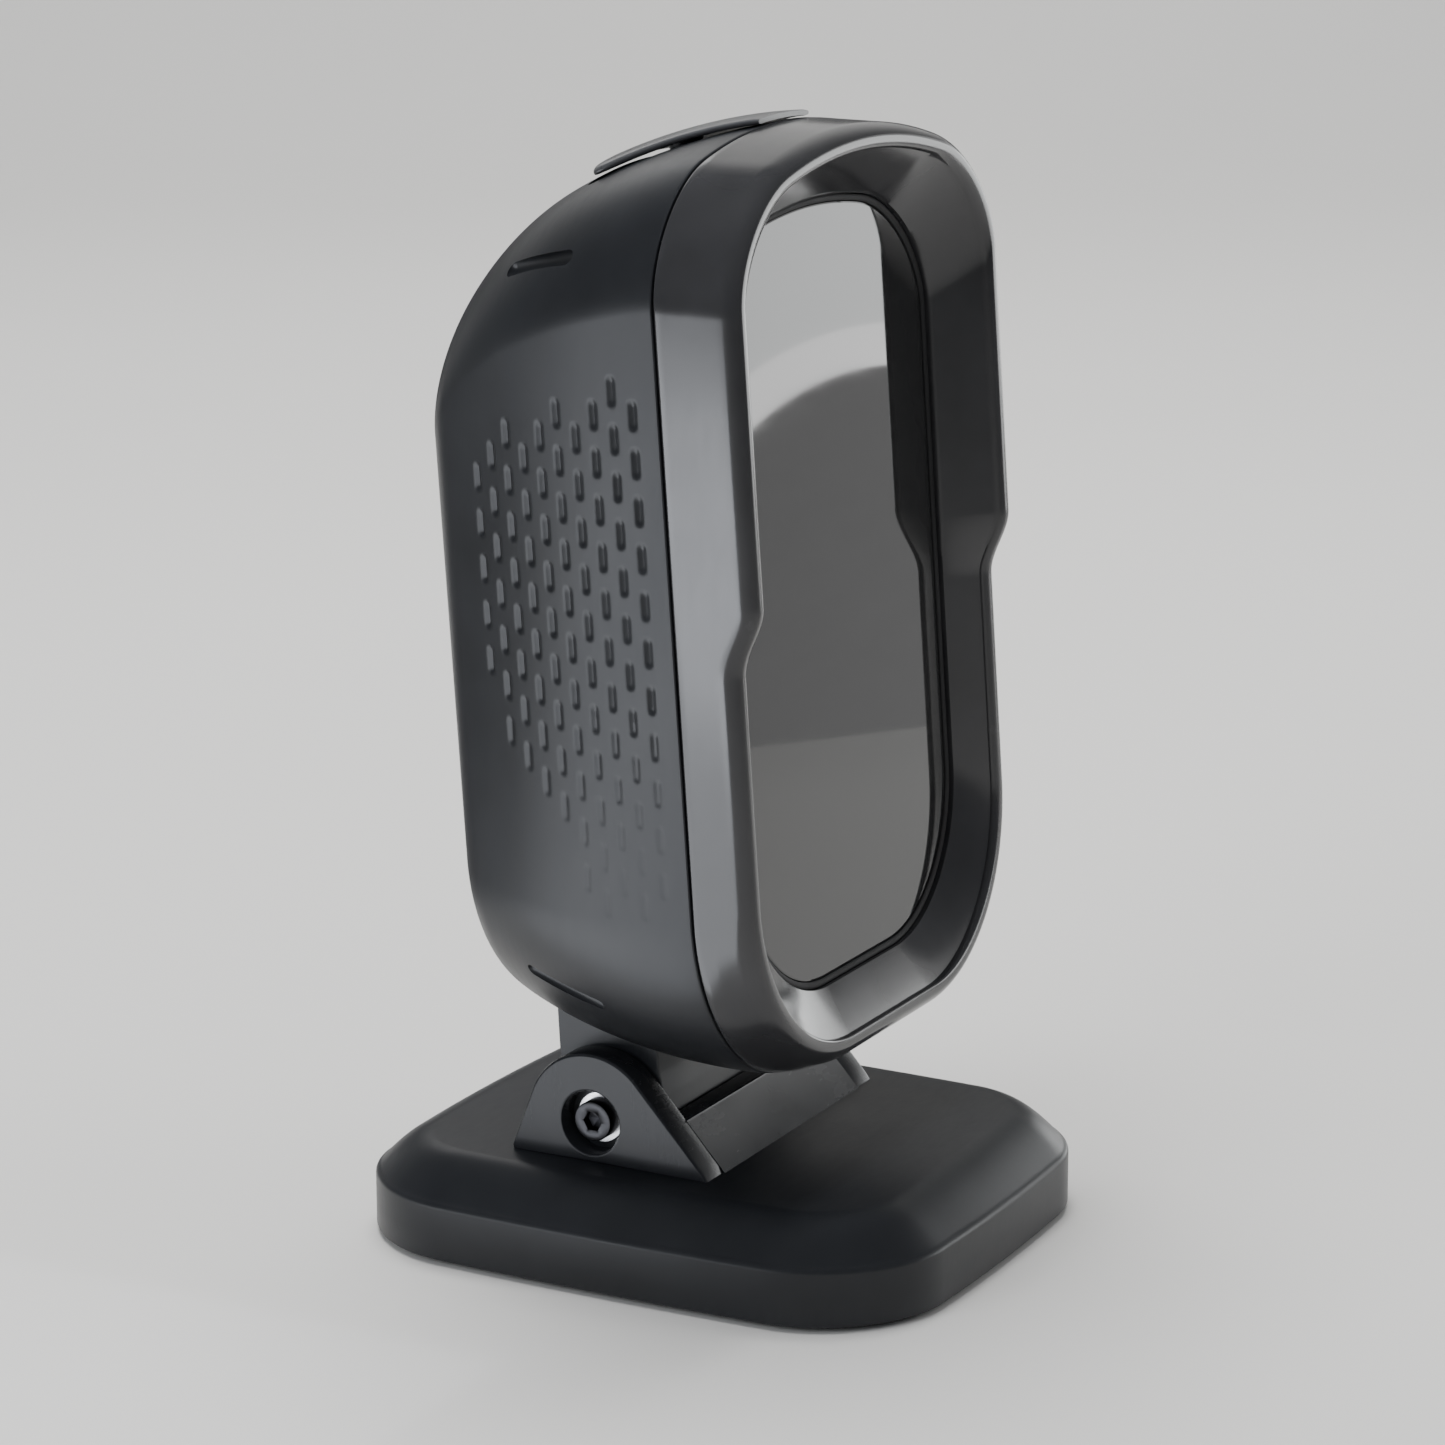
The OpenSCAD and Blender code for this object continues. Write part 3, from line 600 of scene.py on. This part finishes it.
def slope_ring(s, wall=0.0):
    """Ring of the dome, from its rim at s = 0 to the deck at s = 1, or of its inside, a wall below it."""
    rise = (DECK_Z - RIM_H) * math.sin(math.pi / 2 * s)
    rim_inset = 0.5
    return base_ring(rim_inset + (DECK_INSET - rim_inset) * s + wall * (1 - s) * 0.8, RIM_H + rise - wall)


def deck_hole(grow, z):
    """Ring of the bracket's hole in the deck."""
    ring = round_rect(HOLE_HALF[0] + grow, HOLE_HALF[1] + grow, 1.0 + grow, 24, 20)
    return np.stack([ring[:, 0], ring[:, 1] + HOLE_Y, np.full(len(ring), z)], 1)


def base_cover(material):
    """The weighted base's shell: upright rim, rounded edge, domed slope, flat deck and its inside."""
    rings = [base_ring(2.0, 0.8)]
    rings += [base_ring(i, z) for i, z in ((0.35, 0.8), (0.1, 0.88), (0, 1.15), (0, 4.5), (0, 8.0))]
    rings += [base_ring(i, z) for i, z in ((0.02, 8.25), (0.12, 8.52), (0.3, 8.72), (0.5, 8.86))]
    rings += [slope_ring(s) for s in np.linspace(0.02, 1, 34)]
    rings += [base_ring(9.5, DECK_Z), deck_hole(1.5, DECK_Z), deck_hole(0, DECK_Z), deck_hole(0, DECK_Z - 2)]
    rings += [slope_ring(s, 2.0) for s in np.linspace(1, 0, 10)]
    rings += [base_ring(2.0, 6.6)]
    cover = skin("base_shell", rings, wrap=True)
    place(cover, "base", ["base_cover"], material)


def foot_pad(material):
    """The rubber sheet below the base, with a shallow groove near its edge."""
    rings = [base_ring(i, z) for i, z in ((5.0, 1.2), (5.0, 0.3), (5.1, 0.08), (5.35, 0.0), (8.0, 0.0))]
    rings += [base_ring(i, z) for i, z in ((8.2, 0.35), (9.4, 0.35), (9.6, 0.0))]
    pad = skin("foot_sheet", rings)
    place(pad, "base", ["foot_pad"], material)


# ---- hinge -------------------------------------------------------------

def touch_point(foot_y, side):
    """Where a flank from a foot point touches the bracket's round top, and the angle of that point."""
    dy, dz = foot_y - HINGE[1], DECK_Z - HINGE[2]
    a = math.atan2(dz, dy) - side * math.acos(EAR_R / math.hypot(dy, dz))
    return np.array([EAR_R * math.cos(a), EAR_R * math.sin(a)]), a


def star_radius(points, count=144):
    """Radius at even angles of a closed outline that is star-shaped round the origin."""
    p = np.asarray(points, float)
    d = np.roll(p, -1, 0) - p
    radius = np.zeros(count)
    for i, a in enumerate(even_angles(count)):
        u = np.array([math.cos(a), math.sin(a)])
        cross = u[0] * d[:, 1] - u[1] * d[:, 0]
        with np.errstate(divide="ignore", invalid="ignore"):
            reach = (p[:, 0] * d[:, 1] - p[:, 1] * d[:, 0]) / cross
            along = (p[:, 0] * u[1] - p[:, 1] * u[0]) / cross
        good = (reach > 0) & (along > -1e-6) & (along < 1 + 1e-6)
        radius[i] = reach[good].max()
    return radius


def arc_points(radius, start, end, count):
    angle = np.linspace(start, end, count)
    return np.stack([radius * np.cos(angle), radius * np.sin(angle)], 1)


def bracket_outline():
    """Side outline of the bracket round the tilt axis: a round top, two flanks and feet just in the deck."""
    _, front_a = touch_point(BRACKET_FRONT_Y, 1)
    _, back_a = touch_point(BRACKET_BACK_Y, -1)
    top = arc_points(EAR_R, back_a, front_a % (2 * math.pi), 60)
    feet = [(y - HINGE[1], DECK_Z - 0.1 - HINGE[2]) for y in (BRACKET_FRONT_Y, BRACKET_BACK_Y)]
    return np.concatenate([top, feet])


def ear_sections(radius):
    """Sections of the right ear, from its inner face round its rim into the screw's recess."""
    floor = EAR_IN_X + EAR_WEB
    bush_way = 2.5
    return [
        (EAR_IN_X - 0.05, bush_way), (EAR_IN_X - 0.05, radius - 0.3), (EAR_IN_X + 0.1, radius - 0.08),
        (EAR_IN_X + 0.3, radius), (EAR_X - 0.45, radius), (EAR_X - 0.2, radius - 0.08),
        (EAR_X - 0.05, radius - 0.25), (EAR_X, radius - 0.4), (EAR_X, radius - 0.44),
        (EAR_X, EAR_RECESS_R + 0.34), (EAR_X, EAR_RECESS_R + 0.3),
        (EAR_X - 0.08, EAR_RECESS_R + 0.1), (EAR_X - 0.3, EAR_RECESS_R), (floor, EAR_RECESS_R),
        (floor, bush_way),
    ]


def bracket_body():
    """The part between the ears: a front wall, the trough for the barrel and a lower back wall."""
    trough = BARREL_R + 0.4
    front_top, back_top, underside = 1.0, -1.5, -10.2
    front_foot = np.array([BRACKET_FRONT_Y - HINGE[1], DECK_Z - HINGE[2]])
    back_foot = np.array([BRACKET_BACK_Y - HINGE[1], DECK_Z - HINGE[2]])

    def on_flank(foot, touch, z):
        return foot + (touch - foot) * (z - foot[1]) / (touch[1] - foot[1])

    start = math.pi - math.asin((front_top - 0.15) / trough)
    end = 2 * math.pi + math.asin((back_top - 0.15) / trough)
    a = on_flank(front_foot, touch_point(BRACKET_FRONT_Y, 1)[0], front_top - 0.35)
    b = on_flank(back_foot, touch_point(BRACKET_BACK_Y, -1)[0], back_top - 0.35)
    side = np.concatenate([
        [[front_foot[0], underside], front_foot, a, a + [0.12, 0.24], a + [0.4, 0.35]],
        [[-trough - 0.25, front_top], [-trough - 0.08, front_top - 0.05]], arc_points(trough, start, end, 60),
        [[trough + 0.05, back_top - 0.05], [trough + 0.25, back_top]],
        [b + [-0.4, 0.35], b + [-0.12, 0.24], b, back_foot, [back_foot[0], underside]],
    ])
    rings = [
        np.stack([np.full(len(side), x), side[:, 0] + HINGE[1], side[:, 1] + HINGE[2]], 1)
        for x in (-EAR_IN_X - 0.2, EAR_IN_X + 0.2)
    ]
    return skin("bracket_middle", rings)


def hinge_bracket(material):
    sections = ear_sections(star_radius(bracket_outline()))
    right = skin("bracket", hinge_rings(sections), wrap=True)
    left = skin("ear", hinge_rings(sections, -1), wrap=True)
    combine(right, [bracket_body(), left], "UNION", 30)
    place(right, "base", ["hinge_bracket"], material)


def neck(material):
    """The barrel between the ears, which widens into the foot of the scan head."""
    c, s = math.cos(HEAD_LEAN), math.sin(HEAD_LEAN)
    top = 21.0
    upper = [[BARREL_R, 1.0], [8.2, 4.0], [7.2, 7.0], [7.0, top], [-8.0, top], [-8.1, 6.0], [-8.6, 3.0]]
    side = np.concatenate([arc_points(BARREL_R, math.pi, 2 * math.pi, 50), upper])
    turned = np.stack([side[:, 0] * c + side[:, 1] * s, -side[:, 0] * s + side[:, 1] * c], 1)
    count = 192
    radius = star_radius(turned, count)
    sections = [(-NECK_X, radius - 0.4), (-NECK_X + 0.12, radius - 0.12), (-NECK_X + 0.4, radius)]
    sections += [(-x, r) for x, r in sections[::-1]]
    piece = skin("head_neck", hinge_rings(sections, 1, count), sharp=30)
    place(piece, "head", ["neck"], material)


def hexagon(corner_radius, count=144):
    """Radius of a hexagon at even angles."""
    angle = even_angles(count)
    return corner_radius * math.cos(math.pi / 6) / np.cos((angle % (math.pi / 3)) - math.pi / 6)


def hinge_screw(side, material):
    """A socket-head screw with a chamfered head and a hexagonal socket, seen in the ear's recess."""
    seat = EAR_IN_X + EAR_WEB + WASHER_T
    top = seat + SCREW_HEAD_H
    socket = hexagon(1.45)
    sections = [
        (NECK_X - 6.5, SCREW_R - 0.3), (NECK_X - 6.2, SCREW_R), (seat, SCREW_R), (seat, SCREW_HEAD_R - 0.15),
        (seat + 0.1, SCREW_HEAD_R), (top - 0.3, SCREW_HEAD_R), (top - 0.08, SCREW_HEAD_R - 0.09),
        (top, SCREW_HEAD_R - 0.3), (top, 1.72), (top - 0.12, socket), (top - 1.4, socket), (top - 1.75, 0.2),
    ]
    hand = "left" if side < 0 else "right"
    piece = skin("socket_screw_" + hand, hinge_rings(sections, side))
    place(piece, "head", ["hinge_screw_" + hand], material)


def hinge_washers(material):
    """A plain washer below each screw's head, joined into one piece."""
    inner_x, outer_x = EAR_IN_X + EAR_WEB + 0.03, EAR_IN_X + EAR_WEB + WASHER_T - 0.03
    bore, rim = SCREW_R + 0.1, 3.5
    sections = [
        (inner_x, bore), (inner_x, rim - 0.1), (inner_x + 0.07, rim),
        (outer_x - 0.07, rim), (outer_x, rim - 0.08), (outer_x, bore),
    ]
    right = skin("plain_washers", hinge_rings(sections), wrap=True)
    combine(right, [skin("washer", hinge_rings(sections, -1), wrap=True)], "UNION")
    place(right, "head", ["hinge_washers"], material)


# ---- materials ---------------------------------------------------------

def new_material(name):
    """A material, its node tree, its shader and the coordinates that its textures use."""
    material = bpy.data.materials.new(name)
    material.use_nodes = True
    tree = material.node_tree
    shader = tree.nodes["Principled BSDF"]
    coordinates = tree.nodes.new("ShaderNodeTexCoord")
    return material, tree, shader, coordinates.outputs["Object"]


def noise(tree, coordinates, scale, detail=4.0, roughness=0.5, stretch=None):
    """Noise with this many features to a metre, finer along an axis with a larger stretch."""
    if stretch:
        mapping = tree.nodes.new("ShaderNodeMapping")
        mapping.inputs["Scale"].default_value = stretch
        tree.links.new(coordinates, mapping.inputs["Vector"])
        coordinates = mapping.outputs["Vector"]
    node = tree.nodes.new("ShaderNodeTexNoise")
    node.inputs["Scale"].default_value = scale
    node.inputs["Detail"].default_value = detail
    node.inputs["Roughness"].default_value = roughness
    tree.links.new(coordinates, node.inputs["Vector"])
    return node.outputs["Fac"]


def spread(tree, value, low, high, start=0.3, stop=0.7):
    """Maps a texture value to a range."""
    node = tree.nodes.new("ShaderNodeMapRange")
    for key, number in (("From Min", start), ("From Max", stop), ("To Min", low), ("To Max", high)):
        node.inputs[key].default_value = number
    tree.links.new(value, node.inputs["Value"])
    return node.outputs["Result"]


def mix_colour(tree, factor, a, b):
    """Mixes two colours, each a tuple or another node's output."""
    node = tree.nodes.new("ShaderNodeMix")
    node.data_type = "RGBA"
    for socket, colour in ((node.inputs["A"], a), (node.inputs["B"], b)):
        if isinstance(colour, tuple):
            socket.default_value = (*colour, 1)
        else:
            tree.links.new(colour, socket)
    tree.links.new(factor, node.inputs["Factor"])
    return node.outputs["Result"]


def bump(tree, height, strength, distance):
    node = tree.nodes.new("ShaderNodeBump")
    node.inputs["Strength"].default_value = strength
    node.inputs["Distance"].default_value = distance
    tree.links.new(height, node.inputs["Height"])
    return node.outputs["Normal"]


def convex_edges(tree):
    """Close to 1 on sharp convex edges and 0 on flat faces."""
    geometry = tree.nodes.new("ShaderNodeNewGeometry")
    return spread(tree, geometry.outputs["Pointiness"], 0, 1, 0.51, 0.56)


def arithmetic(tree, operation, a, b):
    node = tree.nodes.new("ShaderNodeMath")
    node.operation = operation
    tree.links.new(a, node.inputs[0])
    tree.links.new(b, node.inputs[1])
    return node.outputs[0]


def plastic(name, colour, roughness, grain=0.00025, relief=0.00002, strength=0.35, edge_wear_and_highlight=0.25, specular=0.5):
    """Moulded plastic: fine mould texture, slow tone drift, handling marks, and paler edges that are partly rubbed
    wear and partly a painted edge highlight.
    """
    material, tree, shader, at = new_material(name)
    grain_value = noise(tree, at, 1 / (4 * grain), 3, 0.6)
    drift = noise(tree, at, 55, 3)
    marks = noise(tree, at, 260, 6, 0.65, (1, 3.5, 0.6))
    dark = tuple(0.86 * c for c in colour)
    pale = tuple(min(1.22 * c + 0.002, 1) for c in colour)
    tone = mix_colour(tree, spread(tree, drift, 0, 1), dark, pale)
    # Paler colour on convex edges, in patches: partly rubbed wear, partly a painted edge highlight.
    worn_and_highlit_colour = tuple(min(2.4 * c + 0.02, 1) for c in colour)
    rub = spread(tree, marks, 0, edge_wear_and_highlight, 0.35, 0.75)
    rubbed_and_highlit_edges = arithmetic(tree, "MULTIPLY", convex_edges(tree), rub)
    tree.links.new(mix_colour(tree, rubbed_and_highlit_edges, tone, worn_and_highlit_colour), shader.inputs["Base Color"])
    base_roughness = spread(tree, drift, roughness - 0.03, roughness + 0.03)
    handling = spread(tree, marks, -0.015, 0.03, 0.3, 0.8)
    tree.links.new(arithmetic(tree, "ADD", base_roughness, handling), shader.inputs["Roughness"])
    shader.inputs["Specular IOR Level"].default_value = specular
    tree.links.new(bump(tree, grain_value, strength, relief), shader.inputs["Normal"])
    return material


def pane(name, colour, roughness):
    """Dark polished pane with faint wiping marks."""
    material, tree, shader, at = new_material(name)
    wipes = noise(tree, at, 60, 5, 0.6, (1, 1, 5))
    tree.links.new(spread(tree, wipes, roughness, roughness + 0.02, 0.4, 0.75), shader.inputs["Roughness"])
    tint = mix_colour(tree, spread(tree, wipes, 0, 1), colour, tuple(1.15 * c for c in colour))
    tree.links.new(tint, shader.inputs["Base Color"])
    shader.inputs["IOR"].default_value = 1.52
    tree.links.new(bump(tree, noise(tree, at, 18, 2), 0.02, 0.0002), shader.inputs["Normal"])
    return material


def metal(name, colour, roughness):
    """Machined metal: stretched tool marks, stains and a painted highlight on its edges."""
    material, tree, shader, at = new_material(name)
    lines = noise(tree, at, 900, 5, 0.6, (1, 1, 12))
    stain = noise(tree, at, 220, 4)
    tone = mix_colour(tree, spread(tree, stain, 0, 1), tuple(0.8 * c for c in colour), colour)
    painted_edge_highlight = tuple(min(1.3 * c + 0.03, 1) for c in colour)
    # Painted highlight: every convex edge gets a brighter colour.
    tree.links.new(mix_colour(tree, convex_edges(tree), tone, painted_edge_highlight), shader.inputs["Base Color"])
    tree.links.new(spread(tree, lines, roughness - 0.06, roughness + 0.1), shader.inputs["Roughness"])
    shader.inputs["Metallic"].default_value = 1
    tree.links.new(bump(tree, lines, 0.25, 0.00001), shader.inputs["Normal"])
    return material


def circuit(name, mask, track):
    """Solder mask over a pattern of tracks."""
    material, tree, shader, at = new_material(name)
    brick = tree.nodes.new("ShaderNodeTexBrick")
    brick.inputs["Scale"].default_value = 240
    brick.inputs["Mortar Size"].default_value = 0.03
    tree.links.new(at, brick.inputs["Vector"])
    tracks = spread(tree, brick.outputs["Fac"], 0, 1, 0, 1)
    tree.links.new(mix_colour(tree, tracks, mask, track), shader.inputs["Base Color"])
    tree.links.new(spread(tree, noise(tree, at, 700), 0.25, 0.4), shader.inputs["Roughness"])
    tree.links.new(bump(tree, tracks, 0.4, 0.00004), shader.inputs["Normal"])
    return material


def lens(name, colour, roughness, transmission):
    """Clear or frosted moulded lens."""
    material, tree, shader, at = new_material(name)
    cloud = noise(tree, at, 500, 3)
    tree.links.new(spread(tree, cloud, roughness, roughness + 0.08), shader.inputs["Roughness"])
    tone = mix_colour(tree, spread(tree, cloud, 0, 1), colour, tuple(0.9 * c for c in colour))
    tree.links.new(tone, shader.inputs["Base Color"])
    shader.inputs["Transmission Weight"].default_value = transmission
    tree.links.new(bump(tree, cloud, 0.1, 0.00002), shader.inputs["Normal"])
    return material


def make_materials():
    """One material for each slot of the record."""
    return {
        "textured_plastic": plastic("charcoal_textured", (0.013, 0.014, 0.0165), 0.38, specular=0.32),
        "bracket_plastic": plastic(
            "charcoal_satin", (0.017, 0.018, 0.021), 0.26, grain=0.0002, relief=0.000012, edge_wear_and_highlight=0.0,
            specular=0.25,
        ),
        "gloss_bezel": plastic(
            "black_semi_gloss", (0.026, 0.026, 0.028), 0.17, grain=0.0006, relief=0.000006, strength=0.2,
        ),
        "bar_plastic": plastic(
            "charcoal_bar", (0.055, 0.056, 0.06), 0.3, grain=0.0003, relief=0.00001, strength=0.3,
        ),
        "inner_plastic": plastic("black_moulding", (0.02, 0.02, 0.021), 0.5),
        "rubber": plastic(
            "matt_rubber", (0.012, 0.012, 0.013), 0.72, grain=0.0004, relief=0.00005, strength=0.5, edge_wear_and_highlight=0.1,
            specular=0.3,
        ),
        "window_tint": pane("tinted_pane", (0.018, 0.018, 0.0185), 0.03),
        "optic_glass": lens("coated_glass", (0.6, 0.65, 0.85), 0.02, 0.9),
        "led_lens": lens("frosted_lens", (0.9, 0.88, 0.8), 0.3, 0.6),
        "plated_steel": metal("zinc_plate", (0.6, 0.6, 0.61), 0.28),
        "black_screw": metal("black_oxide", (0.024, 0.024, 0.027), 0.33),
        "bronze": metal("bronze", (0.65, 0.45, 0.22), 0.3),
        "gold_contact": metal("gold_flash", (0.95, 0.7, 0.3), 0.2),
        "washer_plastic": plastic("natural_acetal", (0.72, 0.71, 0.66), 0.4, edge_wear_and_highlight=0.1),
        "circuit_board": circuit("green_mask", (0.01, 0.09, 0.04), (0.05, 0.2, 0.08)),
        "chip_plastic": plastic("chip_package", (0.02, 0.02, 0.022), 0.45, edge_wear_and_highlight=0.1),
        "ribbon_film": plastic("cable_film", (0.7, 0.7, 0.68), 0.35, edge_wear_and_highlight=0.1),
    }


# ---- the object --------------------------------------------------------

def dress_nodes(materials):
    """CAD nodes that stay get the material of their slot."""
    slots = {part["node"]: part["material_slot"] for part in frame["record"]["subparts"]}
    for name, node in frame["nodes"].items():
        if node.hide_render:
            continue
        node.data.materials.clear()
        node.data.materials.append(materials[slots[name]])


def build(materials):
    rear_housing(materials["textured_plastic"])
    front_bezel(materials["gloss_bezel"])
    scan_window(materials["window_tint"])
    window_gasket(materials["rubber"])
    press_bar(materials["bar_plastic"])
    base_cover(materials["textured_plastic"])
    foot_pad(materials["rubber"])
    hinge_bracket(materials["bracket_plastic"])
    neck(materials["textured_plastic"])
    for side in (-1, 1):
        hinge_screw(side, materials["black_screw"])
    hinge_washers(materials["plated_steel"])
    dress_nodes(materials)


# ---- camera, floor and light -------------------------------------------

def look_back(obj, backwards):
    """Turns a camera or a light so that it looks away from a direction."""
    obj.rotation_euler = backwards.to_track_quat("Z", "Y").to_euler()


def add_camera():
    level = math.cos(CAMERA_ELEVATION)
    back = Vector((
        math.sin(CAMERA_AZIMUTH) * level,
        -math.cos(CAMERA_AZIMUTH) * level,
        math.sin(CAMERA_ELEVATION),
    ))
    camera = add_object("camera", bpy.data.cameras.new("camera"))
    camera.location = CAMERA_TARGET + back * CAMERA_DISTANCE
    look_back(camera, back)
    camera.data.sensor_width = 36
    camera.data.lens = 107.2
    camera.data.shift_x = -0.00696
    camera.data.shift_y = -0.0388
    camera.data.clip_start = 0.01
    bpy.context.scene.camera = camera


def area_light(name, place_at, look_at, size, power, colour=(1, 1, 1)):
    """A soft light that isn't seen in reflections, because the cards are."""
    light = bpy.data.lights.new(name, "AREA")
    light.shape = "RECTANGLE"
    light.size, light.size_y = size
    light.energy = power
    light.color = colour
    obj = add_object(name, light)
    obj.visible_glossy = False
    obj.location = place_at
    look_back(obj, Vector(place_at) - Vector(look_at))


def card(name, corners, strength, colour=(1, 1, 1)):
    """A flat studio card that is seen only in reflections."""
    material = bpy.data.materials.new(name)
    material.use_nodes = True
    tree = material.node_tree
    tree.nodes.clear()
    emission = tree.nodes.new("ShaderNodeEmission")
    emission.inputs["Color"].default_value = (*colour, 1)
    emission.inputs["Strength"].default_value = strength
    output = tree.nodes.new("ShaderNodeOutputMaterial")
    tree.links.new(emission.outputs[0], output.inputs["Surface"])
    mesh = bpy.data.meshes.new(name)
    mesh.from_pydata(corners, [], [list(range(len(corners)))])
    mesh.materials.append(material)
    obj = add_object(name, mesh)
    obj.visible_camera = False
    obj.visible_diffuse = False
    obj.visible_shadow = False


def upright(azimuth, distance, half, low, high, arched=False):
    """Corners of an upright card that faces the object, a rectangle or a half-ellipse."""
    a = math.radians(azimuth)
    middle = Vector((math.cos(a), math.sin(a), 0)) * distance
    across = Vector((-math.sin(a), math.cos(a), 0)) * half
    up = Vector((0, 0, high - low))
    start = middle + Vector((0, 0, low))
    if arched:
        return [start + across * math.cos(t) + up * math.sin(t) for t in np.linspace(0, math.pi, 48)]
    return [start - across, start + across, start + across + up, start - across + up]


def add_floor():
    """A pale sheet that bends up into a wall behind the object."""
    mesh = bpy.data.meshes.new("floor")
    half, wall, bend, top = 3.0, 1.2, 0.7, 2.4
    curve = [(wall + bend * math.sin(t), bend * (1 - math.cos(t))) for t in np.linspace(0, math.pi / 2, 16)]
    profile = [(-half, 0.0), *curve, (wall + bend, top)]
    toward = -CAMERA_AZIMUTH
    direction = np.array([math.sin(toward), math.cos(toward)])
    across = np.array([direction[1], -direction[0]])
    points = []
    for along, z in profile:
        for side in (-half, half):
            xy = direction * along + across * side
            points.append((xy[0], xy[1], z))
    faces = [(2 * i, 2 * i + 1, 2 * i + 3, 2 * i + 2) for i in range(len(profile) - 1)]
    mesh.from_pydata(points, [], faces)
    mesh.polygons.foreach_set("use_smooth", np.ones(len(faces), bool))
    floor = add_object("floor", mesh)
    material, tree, shader, at = new_material("pale_paper")
    tone = mix_colour(tree, noise(tree, at, 3), (0.74, 0.73, 0.71), (0.78, 0.77, 0.75))
    tree.links.new(tone, shader.inputs["Base Color"])
    shader.inputs["Roughness"].default_value = 0.9
    shader.inputs["Specular IOR Level"].default_value = 0.1
    mesh.materials.append(material)


def add_light():
    world = bpy.data.worlds.new("studio")
    world.use_nodes = True
    background = world.node_tree.nodes["Background"]
    background.inputs["Color"].default_value = (0.9, 0.94, 1.0, 1)
    background.inputs["Strength"].default_value = 0.24
    bpy.context.scene.world = world
    area_light("overhead", (0.0, 0.15, 1.0), (0, 0, 0.05), (0.8, 0.5), 8)
    area_light("left_fill", (-1.0, 0.3, 0.5), (0, 0, 0.07), (0.6, 0.5), 5, (0.93, 0.96, 1.0))
    area_light("right_fill", (0.5, -1.0, 0.7), (0, 0, 0.07), (0.6, 0.6), 3)
    area_light("backdrop", (0.5, 0.3, 1.6), (1.4, 0.8, 0.0), (1.2, 0.8), 22)


def add_cards():
    """Sheets just above the floor behind the object, and upright cards that the bezel and window mirror."""
    low = 0.0015
    near = [(-0.06, 0.0, low), (-0.06, 0.12, low), (-0.29, 0.35, low), (-0.35, 0.0, low)]
    card("near_sheet", near, 4.8, (0.92, 0.95, 1.0))
    far = [(-0.35, 0.0, low), (-0.29, 0.35, low), (-0.56, 0.62, low), (-0.87, 0.1, low)]
    card("far_sheet", far, 9.6, (0.91, 0.94, 1.0))
    card("behind_sheet", [(-0.06, 0.125, low), (0.1, 0.125, low), (0.3, 1.0, low), (-0.55, 1.0, low)], 0.25)
    right = -27.6
    card("right_bright", upright(right, 0.85, 0.5, 0.0, 0.23), 4.9, (0.98, 1.0, 1.0))
    card("right_upper", upright(right, 0.85, 0.5, 0.23, 0.33), 1.3)
    card("right_dark", upright(right, 0.39, 0.06, low, 0.083, True), 0.85)
    card("right_arch", upright(right, 0.395, 0.071, low, 0.092, True), 6.4)
    card("rear_flag", upright(30, 0.7, 0.4, 0.0, 0.25), 0.12)
    card("rear_high", upright(46, 0.8, 0.16, 0.5, 0.72), 2.4)


add_camera()
build(make_materials())
add_floor()
add_light()
add_cards()
